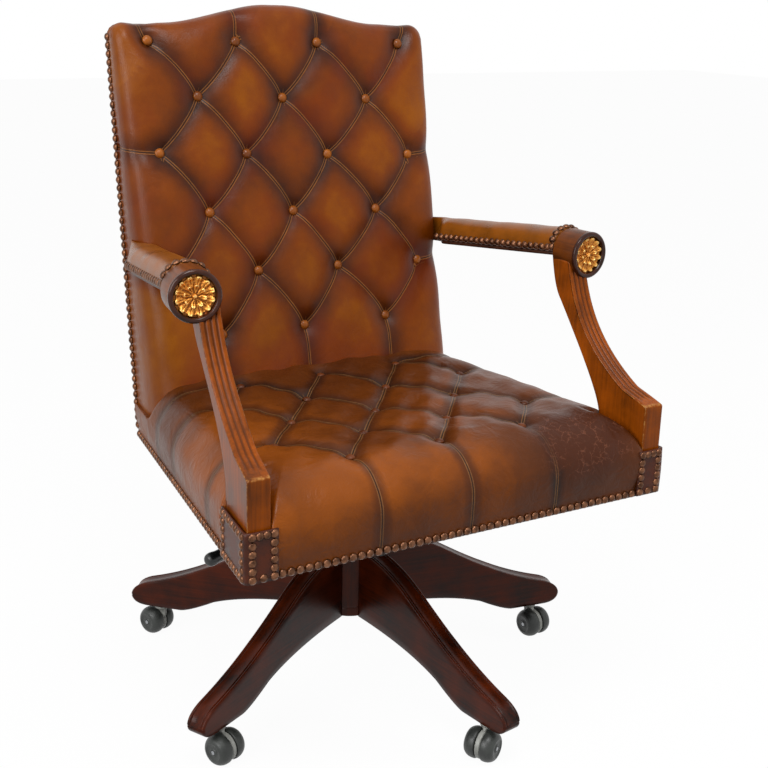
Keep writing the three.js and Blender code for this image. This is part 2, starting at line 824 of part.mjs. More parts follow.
// The padded back from its rear face to its crowned front, grown by a clearance.
function backBody(clearance) {
  const rings = [
    [0, 0], [0, 0.17], [-3, 0.38], [-4, 0.6], [-1, 0.78], [6, 0.89], [18, 0.955], [42, 0.985], [90, 1],
  ].map(([distance, forward]) => {
    const foot = backBottom - clearance + Math.min(distance, 30);
    return backOutline(distance - clearance, foot).map(([x, z]) => {
      const rear = backRearAt(z) - gap + clearance;
      const front = backFrontAt(z) - clearance;
      return new THREE.Vector3(x, rear + (front - rear) * forward, z);
    });
  });
  return cut(lofted(rings), backUndercut(clearance));
}

// The layer that holds the wooden frame, from the back's rear face forwards.
function backFrameSlab(outline, clearance) {
  return backSlab(outline,
    (z) => backRearAt(z) - 2 * gap + clearance * 2,
    (z) => backRearAt(z) - 2 * gap - backFrameThickness - clearance);
}

function backFrame() {
  const foot = backBottom + gap;
  const outer = backFrameSlab(backOutline(backFrameInset, foot), 0);
  const middle = backFrameSlab(backOutline(backFrameInset + backFrameRail, foot + frameHeight), 1);
  return cut(outer, middle);
}

function backCushion() {
  const room = backFrameSlab(backOutline(backFrameInset - gap, backBottom - 1), gap);
  const coreOutline = backOutline(backFrameInset + backFrameRail + gap, backBottom + frameHeight + 2 * gap);
  const core = backFrameSlab(coreOutline, 2 * gap);
  const tufts = tuftMould(backRows, backTufts, backPitch, backRow, backFirstRow,
    (x, z, depth) => new THREE.Vector3(x, backFrontAt(z) + depth, z));
  return cut(backBody(0), tufts, cut(room, core));
}

function backCover() {
  return backSlab(backOutline(0, backBottom), (z) => backRearAt(z) + backCoverThickness, backRearAt);
}

// Bands beside the rear edges of the back, where the outside panel is nailed.
function backNailTrim() {
  const rearAt = (z) => backRearAt(z) + backCoverThickness;
  const outer = backSlab(backOutline(-armTrimThickness - gap, backBottom),
    rearAt, (z) => rearAt(z) - trimWidth);
  const inner = backSlab(backOutline(-gap, backBottom - 1),
    (z) => rearAt(z) + 1, (z) => rearAt(z) - 2 * trimWidth);
  return cut(outer, inner);
}

// ---------------------------------------------------------------- arms, made for the right side

// Height of the seat's side line at a depth, moved outwards by an offset.
function sideFaceAt(offset) {
  return (y) => seatFrontHalf + offset - (y + seatFront) * Math.tan(splay);
}

// The post's side outline in [depth, height]: a block at the foot and a swept stump above it.
function postShape(clearance) {
  const shape = new THREE.Shape();
  const c = clearance;
  const neckFront = drumFront + 5 + c;
  const neckRear = drumFront - drumDepth + c;
  shape.moveTo(-postFootFront - c, postFootBottom - c);
  shape.lineTo(-postFootRear + c, postFootBottom - c);
  shape.lineTo(-postFootRear + c, postBlockTop - 35);
  shape.bezierCurveTo(-postFootRear + c + 4, postBlockTop, -postFootRear + 55 + c, drumHeight - 115,
    -postFootRear + 95 + c, drumHeight - 65);
  shape.quadraticCurveTo(-neckRear - 12 + c, drumHeight - 50, -neckRear, drumHeight);
  shape.lineTo(-neckFront, drumHeight - 10);
  shape.bezierCurveTo(-neckFront - 8, drumHeight - 70, -neckFront - 35, drumHeight - 120,
    -postFootFront + 45 - c, postBlockTop + 14 + c);
  shape.quadraticCurveTo(-postFootFront + 20 - c, postBlockTop + 7 + c, -postFootFront - c, postBlockTop + c);
  return shape;
}

// The post's outline given a thickness between two side faces, which follow the seat's splay.
function postSlab(clearance, innerAt, outerAt) {
  const slab = new THREE.ExtrudeGeometry(postShape(clearance), {
    depth: 1,
    curveSegments: 8,
    bevelEnabled: false,
  });
  const place = slab.attributes.position;
  for (let i = 0; i < place.count; i += 1) {
    const [y, z, side] = [place.getX(i), place.getY(i), place.getZ(i)];
    place.setXYZ(i, side > 0.5 ? outerAt(y) : innerAt(y), y, z);
  }
  return slab;
}

// Places a shape made round the arm's own axis: the drum's front centre, with +Y to the rear.
function atArm(geometry) {
  const x = sideFaceAt(-postInset - postWidth + drumRadius)(-drumFront);
  return geometry.rotateZ(splay).translate(x, -drumFront, drumHeight);
}

function drum(radius, from, to, sides = 32) {
  return rod(radius, from, to, sides).rotateX(-Math.PI / 2);
}

function armPost() {
  const stump = postSlab(0, sideFaceAt(-postInset - postWidth), sideFaceAt(-postInset));
  const scroll = atArm(cut(drum(drumRadius, 0, drumDepth), drum(drumRadius - drumRim, -1, drumRecess)));
  const recess = atArm(drum(drumRadius - drumRim, -20, drumRecess));
  const behind = atArm(box(-100, 100, drumDepth, 200, -40, 100));
  const aroundSeat = raised(seatOutline(-2 * postWidth), seatBottom, patchTop + gap,
    [seatOutline(trimThickness + gap)]);
  return cut(join(stump, scroll), recess, behind, aroundSeat);
}

function armRosette() {
  const outline = [];
  const steps = rosettePetals * 8;
  const outer = drumRadius - drumRim - gap;
  for (let k = 0; k < steps; k += 1) {
    const angle = (2 * Math.PI * k) / steps;
    const radius = outer - 3 * (1 - Math.abs(Math.cos((angle * rosettePetals) / 2)));
    outline.push([radius * Math.cos(angle), radius * Math.sin(angle)]);
  }
  const petals = raised(outline, 0, rosetteHeight - 3);
  const boss = turned([
    [0, 1],
    [outer * 0.66, 1],
    [outer * 0.56, rosetteHeight - 1],
    [outer * 0.2, rosetteHeight],
    [0, rosetteHeight],
  ], tubeSides);
  return atArm(join(petals, boss).rotateX(Math.PI / 2).translate(0, drumRecess - gap, 0));
}

// A section in [across, up] carried backwards along the arm, which falls towards the rear.
function alongArm(section, from, to) {
  const shape = new THREE.Shape(section.map(([x, z]) => new THREE.Vector2(x, z)));
  const bar = new THREE.ExtrudeGeometry(shape, { depth: to - from, bevelEnabled: false });
  const place = bar.attributes.position;
  for (let i = 0; i < place.count; i += 1) {
    const y = place.getZ(i) + from;
    place.setXYZ(i, place.getX(i), y, place.getY(i) - padSlope * (y - drumDepth));
  }
  const order = bar.index ? bar.index.array : null;
  if (!order) {
    for (let i = 0; i < place.count; i += 3) {
      const [x, y, z] = [place.getX(i), place.getY(i), place.getZ(i)];
      place.setXYZ(i, place.getX(i + 1), place.getY(i + 1), place.getZ(i + 1));
      place.setXYZ(i + 1, x, y, z);
    }
  }
  return atArm(bar);
}

// The pad's section: flat below, upright sides and a domed top.
function padSection(grow, floor = 0) {
  const half = padHalfWidth + grow;
  const side = padHeight * 0.3;
  const dome = padHeight - side + grow;
  const points = [[-half, floor], [half, floor]];
  const steps = 12;
  for (let k = 0; k <= steps; k += 1) {
    const angle = (Math.PI * k) / steps;
    points.push([half * Math.cos(angle), side + dome * Math.sin(angle) ** 0.85]);
  }
  return points;
}

// Everything outside the slanting line that the pad's outer side follows into the back.
function beyondTaper() {
  const rear = drumDepth + padLength;
  const slope = (padHalfWidth - padTaperEnd) / padTaper;
  const lineAt = (y) => padTaperEnd + (rear - y) * slope;
  const [from, to] = [rear - 1.3 * padTaper, rear + padTaper];
  const side = 3 * padHalfWidth;
  return atArm(raised([[lineAt(from), from], [side, from], [side, to], [lineAt(to), to]],
    -3 * padHeight, 3 * padHeight));
}

function railSection(grow) {
  const half = railHalfWidth + grow;
  return [[-half, -grow], [half, -grow], [half, railHeight + grow], [-half, railHeight + grow]];
}

function armRail() {
  return cut(alongArm(railSection(0), drumDepth + gap, drumDepth + padLength - padTaper), backBody(gap));
}

function armPad() {
  const start = drumDepth + gap;
  const whole = alongArm(padSection(0), start, drumDepth + padLength);
  const railRoom = alongArm(railSection(gap), start - 1, drumDepth + padLength - padTaper + gap);
  return cut(whole, railRoom, backBody(gap), beyondTaper());
}

// Nailed bands: along both lower edges of the pad and over its front end.
function armNailTrim() {
  const start = drumDepth + gap;
  const shell = cut(alongArm(padSection(gap + armTrimThickness), start, drumDepth + padLength),
    alongArm(padSection(gap, -padHeight), start - 1, drumDepth + padLength + 1));
  const above = alongArm([[-90, armTrimWidth], [90, armTrimWidth], [90, 90], [-90, 90]],
    start + armTrimWidth, drumDepth + padLength + 1);
  return cut(shell, above, backBody(gap), beyondTaper());
}

// A band round the seat's front corner below the arm post, between two insets of the seat's side.
function cornerBand(outer, inner, grow) {
  const ring = raised(seatOutline(outer), trimTop + gap - grow, patchTop + grow, [seatOutline(inner)]);
  const corner = box(seatFrontHalf - patchFrontWidth - grow, 2 * seatFrontHalf, -2 * seatFront,
    -postFootRear + grow, seatBottom, patchTop + postWidth);
  return common(ring, corner);
}

// The leather patch that wraps the corner.
function cornerPatch() {
  return cornerBand(0, trimThickness, 0);
}

// Room for both corner patches in the seat's side.
function patchRoom() {
  const room = cornerBand(-trimWidth, trimThickness + gap, gap);
  return [room, mirrored(room)];
}

// ---------------------------------------------------------------- finishes

const finishes = {
  mahogany: { color: '#3a1a12', roughness: 0.35, metalness: 0 },
  walnut: { color: '#7a4519', roughness: 0.4, metalness: 0 },
  beech: { color: '#b98d5a', roughness: 0.7, metalness: 0 },
  leather: { color: '#8a4a1c', roughness: 0.4, metalness: 0 },
  patchLeather: { color: '#5a2715', roughness: 0.45, metalness: 0 },
  gilt: { color: '#a8752c', roughness: 0.4, metalness: 0.6 },
  bronze: { color: '#5b4336', roughness: 0.35, metalness: 0.8 },
  brass: { color: '#8a6a35', roughness: 0.35, metalness: 0.9 },
  blackSteel: { color: '#1c1c1e', roughness: 0.45, metalness: 0.6 },
  brightSteel: { color: '#9a9ca0', roughness: 0.3, metalness: 0.9 },
  greyPlastic: { color: '#8f918c', roughness: 0.5, metalness: 0 },
  tread: { color: '#2b2d2c', roughness: 0.6, metalness: 0 },
  blackPlastic: { color: '#151716', roughness: 0.5, metalness: 0 },
  jute: { color: '#8d7a58', roughness: 0.9, metalness: 0 },
  blackCloth: { color: '#161514', roughness: 0.95, metalness: 0 },
};

function piece(name, geometry, finish) {
  const bare = geometry.index ? geometry.toNonIndexed() : geometry.clone();
  bare.computeVertexNormals();
  const mesh = new THREE.Mesh(bare, new THREE.MeshStandardMaterial(finishes[finish]));
  mesh.name = name;
  return mesh;
}

// ---------------------------------------------------------------- assembly

const chair = new THREE.Group();
const add = (name, geometry, finish) => chair.add(piece(name, geometry, finish));

for (let k = 0; k < legCount; k += 1) {
  const degrees = baseTurn + (360 * k) / legCount;
  const turn = THREE.MathUtils.degToRad(degrees);
  add(`leg_${k + 1}`, leg(turn), 'mahogany');
  const caster = new THREE.Group();
  caster.position.set(stemReach * Math.cos(turn), stemReach * Math.sin(turn), 0);
  caster.rotation.z = THREE.MathUtils.degToRad(casterHeadings[k % casterHeadings.length]);
  caster.add(piece(`caster_${k + 1}_hood`, casterHood(), 'greyPlastic'));
  caster.add(piece(`caster_${k + 1}_axle`, axleAt(axleRadius, hoodWidth / 2 + wheelWidth), 'brightSteel'));
  caster.add(piece(`caster_${k + 1}_wheel_left`, casterWheel(1), 'tread'));
  caster.add(piece(`caster_${k + 1}_wheel_right`, casterWheel(-1), 'tread'));
  chair.add(caster);
}
add('hub_block', hubBlock(), 'mahogany');
add('hub_cap', hubCap(), 'brass');
add('gas_lift_cylinder', liftCylinder(), 'blackSteel');
add('gas_lift_rod', liftRod(), 'brightSteel');
add('gas_lift_column', liftColumn(), 'brightSteel');

add('tilt_housing', tiltHousing(), 'blackSteel');
add('tilt_pin', tiltPin(), 'brightSteel');
add('tension_spring', tensionSpring(), 'brightSteel');
add('tension_bolt', tensionBolt(), 'brightSteel');
add('tension_knob', tensionKnob(), 'blackPlastic');
add('height_lever', heightLever(), 'brightSteel');
add('lever_knob', leverKnob(), 'blackPlastic');

add('seat_plate', seatPlate(), 'blackSteel');
add('seat_frame', seatFrame(), 'beech');
add('seat_webbing', seatWebbing(), 'jute');
add('seat_cushion', seatCushion(), 'leather');
add('dust_cover', dustCover(), 'blackCloth');
add('seat_nail_trim', seatNailTrim(), 'bronze');

add('back_frame', backFrame(), 'beech');
add('back_cushion', backCushion(), 'leather');
add('back_cover', backCover(), 'leather');
add('back_nail_trim', backNailTrim(), 'bronze');

const armPieces = [
  ['arm_post', armPost(), 'walnut'],
  ['arm_rosette', armRosette(), 'gilt'],
  ['arm_rail', armRail(), 'beech'],
  ['arm_pad', armPad(), 'leather'],
  ['arm_nail_trim', armNailTrim(), 'bronze'],
  ['corner_patch', cornerPatch(), 'patchLeather'],
];
for (const [name, geometry, finish] of armPieces) {
  add(`${name}_right`, geometry, finish);
  add(`${name}_left`, mirrored(geometry), finish);
}

chair.position.set(columnX, columnY, 0);

export default chair;
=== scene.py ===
"""A deep-buttoned leather office chair on a five-legged swivel base, dressed round its solid frame.

Lengths are metres. +Z is up, the sitter faces -Y, and shapes are worked out about the swivel column.
"""

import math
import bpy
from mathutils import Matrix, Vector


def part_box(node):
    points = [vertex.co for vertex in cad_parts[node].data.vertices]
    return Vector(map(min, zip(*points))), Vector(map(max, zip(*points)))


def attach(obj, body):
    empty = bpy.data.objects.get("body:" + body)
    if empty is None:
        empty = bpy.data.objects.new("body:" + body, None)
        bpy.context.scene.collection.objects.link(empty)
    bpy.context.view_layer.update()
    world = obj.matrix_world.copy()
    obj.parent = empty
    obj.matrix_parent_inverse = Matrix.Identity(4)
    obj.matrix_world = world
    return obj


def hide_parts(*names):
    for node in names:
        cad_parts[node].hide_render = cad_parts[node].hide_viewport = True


bl_info = {
    "name": "Buttoned Swivel Chair",
    "version": (1, 0, 0),
    "blender": (4, 2, 0),
    "location": "View3D > Sidebar > Chair",
    "description": "Builds a deep-buttoned leather office chair round its solid frame",
    "category": "Object",
}

import bmesh
import bpy
import numpy as np
from mathutils import Matrix, Vector

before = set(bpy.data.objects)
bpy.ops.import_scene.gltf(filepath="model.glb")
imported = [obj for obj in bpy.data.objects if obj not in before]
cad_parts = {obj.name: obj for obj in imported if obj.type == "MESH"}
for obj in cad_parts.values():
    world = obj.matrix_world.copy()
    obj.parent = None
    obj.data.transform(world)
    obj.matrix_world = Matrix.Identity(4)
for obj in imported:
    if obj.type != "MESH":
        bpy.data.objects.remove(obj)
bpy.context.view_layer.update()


def middle(node):
    """Middle of a frame node's box."""
    low, high = (np.array(corner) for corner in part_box(node))
    return (low + high) / 2


# ------------------------------------------------------------ sizes shared by the pieces

COLUMN = np.array([middle("hub_block")[0], middle("hub_block")[1], 0.0])
TRIM_LOW, TRIM_HIGH = (np.array(corner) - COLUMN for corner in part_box("seat_nail_trim"))
SEAT_BOTTOM = TRIM_LOW[2]
SEAT_FRONT, SEAT_REAR = TRIM_LOW[1], TRIM_HIGH[1]
SEAT_FRONT_HALF, SEAT_REAR_HALF = TRIM_HIGH[0], 0.250
SPLAY = math.atan2(SEAT_FRONT_HALF - SEAT_REAR_HALF, SEAT_REAR - SEAT_FRONT)
PATCH_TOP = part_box("corner_patch_right")[1][2]
# arm posts, the back's faces and their slopes, scrolls, base and casters
POST_REAR = -0.227
POST_FRONT = -0.3128
POST_WIDTH = 0.030
POST_INSET = 0.004
BACK_FOOT = 0.3513
BACK_LEAN = 0.232
BACK_REFERENCE = 0.510
BACK_FRONT = 0.132
BACK_REAR = 0.226
BACK_REAR_LEAN = 0.108
DRUM_RADIUS = 0.033
DRUM_DEPTH = 0.043
DRUM_Y, DRUM_Z = -0.148, 0.647
BASE_TURN = math.radians(62.7)
LEG_REACH = 0.358
STEM_REACH = 0.312
LEG_COUNT = 5
CASTER_HEADINGS = (20, 112, 290, 208, 275)
WHEEL_RADIUS = 0.022
CASTER_TRAIL = 0.013
LEFT_RIGHT = (("left", -1), ("right", 1))


# ------------------------------------------------------------ settings a user would change

def colour(name, text, code):
    """A colour setting whose default is an sRGB hex code."""
    return bpy.props.FloatVectorProperty(name=name, description=text, subtype="COLOR", size=3,
                                         min=0, max=1, default=linear(code)[:3])


def length(name, text, default):
    """A length setting in metres."""
    return bpy.props.FloatProperty(name=name, description=text, default=default, min=0,
                                   unit="LENGTH", subtype="DISTANCE")


def linear(code):
    """An sRGB hex code as linear RGBA: each channel c becomes ((c + 0.055) / 1.055) ^ 2.4."""
    channels = [int(code[k:k + 2], 16) / 255 for k in (1, 3, 5)]
    return tuple(c / 12.92 if c <= 0.04045 else ((c + 0.055) / 1.055) ** 2.4 for c in channels) + (1.0,)


class ChairUpholstery(bpy.types.PropertyGroup):
    """Leather and buttoning."""
    # golden also shows on the painted sheen of the back and seat; brown and patina also stand for painted
    # shade on the flanks of the folds, in them and round the buttons
    golden: colour("Golden tan", "Leather where its stain is rubbed away", "#9c5707")
    tan: colour("Tan", "Leather in the middle of each tuft", "#783701")
    brown: colour("Brown", "Leather on the flanks of each fold", "#502101")
    patina: colour("Patina", "Leather in the folds and round the buttons", "#2a1106")
    fold_depth: length("Fold depth", "How far a fold of the back lies below its padding", 0.0085)
    button_depth: length("Button depth", "How much deeper a button of the back is pulled", 0.009)
    button_radius: length("Button radius", "Radius of a covered button", 0.0075)


class ChairTimber(bpy.types.PropertyGroup):
    """Wood of the arms and the base."""
    arm: colour("Arm wood", "Polished walnut of the arms", "#9c4a05")
    base: colour("Base wood", "Stained mahogany of the legs", "#541c03")


class ChairTrim(bpy.types.PropertyGroup):
    """Nail heads."""
    bronze: colour("Bronze", "Antique finish of the nail heads", "#84593f")
    radius: length("Head radius", "Radius of a nail head", 0.0056)
    pitch: length("Pitch", "Distance between two nail heads", 0.0118)


# ------------------------------------------------------------ surfaces

def quads(count_u, count_v, wrap=False):
    """Faces of a grid of count_u by count_v points. wrap joins the last column to the first."""
    index = np.arange(count_u * count_v).reshape(count_u, count_v)
    if wrap:
        index = np.vstack([index, index[:1]])
    return np.stack([index[:-1, :-1], index[1:, :-1], index[1:, 1:], index[:-1, 1:]], -1).reshape(-1, 4)


def end_faces(count_u, count_v):
    """The two faces that close a wrapped grid's open ends, each with count_u corners."""
    return [tuple(int(k) for k in np.arange(count_u) * count_v + end) for end in (0, count_v - 1)]


def smooth_path(knots, at):
    """A smooth curve through knots at fractions of its length: cubic Hermite pieces whose tangents are
    the slopes between each knot's neighbours."""
    knots = np.asarray(knots, float)
    place = np.concatenate([[0], np.cumsum(np.linalg.norm(np.diff(knots, axis=0), axis=1))])
    place /= place[-1]
    slope = np.gradient(knots, place, axis=0)
    k = np.clip(np.searchsorted(place, at, side="right") - 1, 0, len(knots) - 2)
    step = (place[k + 1] - place[k])[..., None]
    s = ((at - place[k]) / (place[k + 1] - place[k]))[..., None]
    return ((1 + 2 * s) * (1 - s) ** 2 * knots[k] + s * (1 - s) ** 2 * step * slope[k]
            + s * s * (3 - 2 * s) * knots[k + 1] + s * s * (s - 1) * step * slope[k + 1])


def smoothstep(low, high, x):
    """0 below low, 1 above high, and 3t^2 - 2t^3 between them."""
    t = np.clip((x - low) / (high - low), 0, 1)
    return t * t * (3 - 2 * t)


def grid_normals(points):
    """Unit normals of a grid of points: the cross product of its two gradients."""
    normal = np.cross(np.gradient(points, axis=0), np.gradient(points, axis=1))
    return normal / np.maximum(np.linalg.norm(normal, axis=-1, keepdims=True), 1e-12)


def lathe(profile, sides=48, lobes=0, lobe_depth=0.0, closed=False):
    """A profile of (radius, height) turned about +Z: x = r cos a, y = r sin a, z = h. Lobes draw the
    radius in by lobe_depth (1 - cos(lobes a)) / 2. closed joins the profile's ends."""
    profile = np.asarray(profile, float)
    if closed:
        profile = np.vstack([profile, profile[:1]])
    angle = np.linspace(0, 2 * np.pi, sides, endpoint=False)[:, None]
    radius, off_axis = profile[None, :, 0], profile[None, :, 0] > 0.002
    radius = radius - lobe_depth * (0.5 - 0.5 * np.cos(lobes * angle)) * off_axis
    points = np.stack([radius * np.cos(angle), radius * np.sin(angle),
                       np.broadcast_to(profile[None, :, 1], radius.shape)], -1)
    return points.reshape(-1, 3), quads(sides, len(profile), wrap=True)


def rounded_profile(corners, radius, steps=4):
    """A line of (radius, height) corners with each inner corner replaced by a quadratic curve that
    leaves and joins the line at the given distance, or at 45 % of a shorter side."""
    corners = np.asarray(corners, float)
    out = [corners[0]]
    t = np.linspace(0, 1, steps + 1)[:, None]
    for before, corner, after in zip(corners[:-2], corners[1:-1], corners[2:]):
        reach = [min(radius, 0.45 * np.linalg.norm(p - corner)) for p in (before, after)]
        start, end = (corner + (p - corner) / max(np.linalg.norm(p - corner), 1e-9) * r
                      for p, r in zip((before, after), reach))
        out.extend((1 - t) ** 2 * start + 2 * t * (1 - t) * corner + t * t * end)
    out.append(corners[-1])
    return np.array(out)


def tube(path, radius, sides=16):
    """A round bar along a path of points: circles in planes across the path's direction, with both
    ends drawn to a point."""
    path = np.asarray(path, float)
    along = np.gradient(path, axis=0)
    along /= np.linalg.norm(along, axis=1, keepdims=True)
    side = np.cross(along, [0.13, 0.31, 0.94])
    side /= np.linalg.norm(side, axis=1, keepdims=True)
    up = np.cross(side, along)
    angle = np.linspace(0, 2 * np.pi, sides, endpoint=False)[:, None, None]
    radius = np.concatenate([[0], np.broadcast_to(radius, len(path)), [0]])[:, None]
    at = np.concatenate([[0], np.arange(len(path)), [len(path) - 1]])
    points = path[at] + radius * (np.cos(angle) * side[at] + np.sin(angle) * up[at])
    return points.reshape(-1, 3), quads(sides, len(at), wrap=True)


def turned_to(points, direction, place):
    """Points made about +Z, turned so that +Z lies along a direction, and moved to a place."""
    turn = np.array(Vector((0, 0, 1)).rotation_difference(Vector(direction)).to_matrix())
    return points @ turn.T + np.asarray(place)


def about_z(points, angle, place=(0, 0, 0)):
    """Points turned about +Z and moved."""
    c, s = math.cos(angle), math.sin(angle)
    return points @ np.array([[c, s, 0], [-s, c, 0], [0, 0, 1]]) + np.asarray(place)


def domes(places, normals, radius, height, sides=12):
    """Closed domes on a surface: at each place the profile r = R sin(t), h = H cos(t)^1.3 turned about the
    normal there, with a flat foot."""
    places, normals = np.asarray(places, float), np.asarray(normals, float)
    t = np.linspace(0, np.pi / 2, 5)
    profile = np.stack([radius * np.sin(t), height * np.cos(t) ** 1.3], -1)
    profile = np.vstack([profile, [[radius * 0.96, -0.0006], [0, -0.0006]]])
    shape, faces = lathe(profile[::-1], sides)
    side = np.cross(normals, [0.31, 0.22, 0.93])
    side /= np.linalg.norm(side, axis=1, keepdims=True)
    other = np.cross(normals, side)
    points = (places[:, None] + shape[None, :, :1] * side[:, None] + shape[None, :, 1:2] * other[:, None]
              + shape[None, :, 2:] * normals[:, None])
    steps = np.arange(len(places))[:, None, None] * len(shape)
    return points.reshape(-1, 3), (faces[None] + steps).reshape(-1, 4)


def merged(*shapes):
    """Several (points, faces) as one."""
    start, points, faces = 0, [], []
    for shape_points, shape_faces in shapes:
        points.append(shape_points)
        faces.append(np.asarray(shape_faces) + start)
        start += len(shape_points)
    return np.vstack(points), np.vstack(faces)


def spaced(path, pitch, closed=False):
    """Evenly spaced points along a line of points, as near the pitch as its length allows."""
    path = np.asarray(path, float)
    if closed:
        path = np.vstack([path, path[:1]])
    run = np.concatenate([[0], np.cumsum(np.linalg.norm(np.diff(path, axis=0), axis=1))])
    count = max(1, round(run[-1] / pitch))
    at = np.linspace(0, run[-1], count + 1)[:count if closed else count + 1]
    return np.stack([np.interp(at, run, path[:, k]) for k in range(3)], -1)


def make(name, shape, body, finish, replaces=(), attributes=None, clean=True, extra=()):
    """Puts a (points, faces) shape into a smooth-shaded object that rides on a body."""
    points, faces = shape
    mesh = bpy.data.meshes.new(name)
    mesh.from_pydata((points + COLUMN).tolist(), [], [*map(tuple, np.asarray(faces).tolist()), *extra])
    for key, values in (attributes or {}).items():
        values = np.asarray(values, np.float32)
        vector = values.ndim == 2
        layer = mesh.attributes.new(key, "FLOAT_VECTOR" if vector else "FLOAT", "POINT")
        layer.data.foreach_set("vector" if vector else "value", values.ravel())
    if clean:
        edit = bmesh.new()
        edit.from_mesh(mesh)
        bmesh.ops.remove_doubles(edit, verts=edit.verts, dist=2e-6)
        bmesh.ops.recalc_face_normals(edit, faces=edit.faces)
        edit.to_mesh(mesh)
        edit.free()
    mesh.polygons.foreach_set("use_smooth", np.ones(len(mesh.polygons), bool))
    mesh.materials.append(finish)
    piece = bpy.data.objects.new(name, mesh)
    bpy.context.scene.collection.objects.link(piece)
    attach(piece, body)
    if replaces:
        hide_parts(*replaces)
    return piece


# ------------------------------------------------------------ materials

def node(tree, kind, settings=None, links=None, stops=()):
    """Adds one shader node, whose kind leaves out ShaderNode. settings are its properties, or input values
    by name or number; links are inputs by name or number, each fed by (node, output); stops are a colour
    ramp's (place, hex code or RGBA) pairs."""
    made = tree.nodes.new("ShaderNode" + kind)
    for key, value in (settings or {}).items():
        if isinstance(key, int) or key in made.inputs:
            made.inputs[key].default_value = value
        else:
            setattr(made, key, value)
    for key, (source, output) in (links or {}).items():
        tree.links.new(source.outputs[output], made.inputs[key])
    for number, (place, value) in enumerate(stops):
        elements = made.color_ramp.elements
        element = elements[number] if number < len(elements) else elements.new(place)
        element.position = place
        element.color = linear(value) if isinstance(value, str) else value
    return made


def blank(name, **values):
    """A new material with a principled shader whose own sockets are set, names with underscores for
    spaces."""
    finish = bpy.data.materials.new(name)
    finish.use_nodes = True
    tree = finish.node_tree
    tree.nodes.clear()
    shader = node(tree, "BsdfPrincipled", {key.replace("_", " "): v for key, v in values.items()})
    node(tree, "OutputMaterial", None, {"Surface": (shader, "BSDF")})
    return finish, tree, shader


def feed(tree, shader, **links):
    """Links (node, output) pairs to the shader's inputs, names with underscores for spaces."""
    for key, (source, output) in links.items():
        tree.links.new(source.outputs[output], shader.inputs[key.replace("_", " ")])


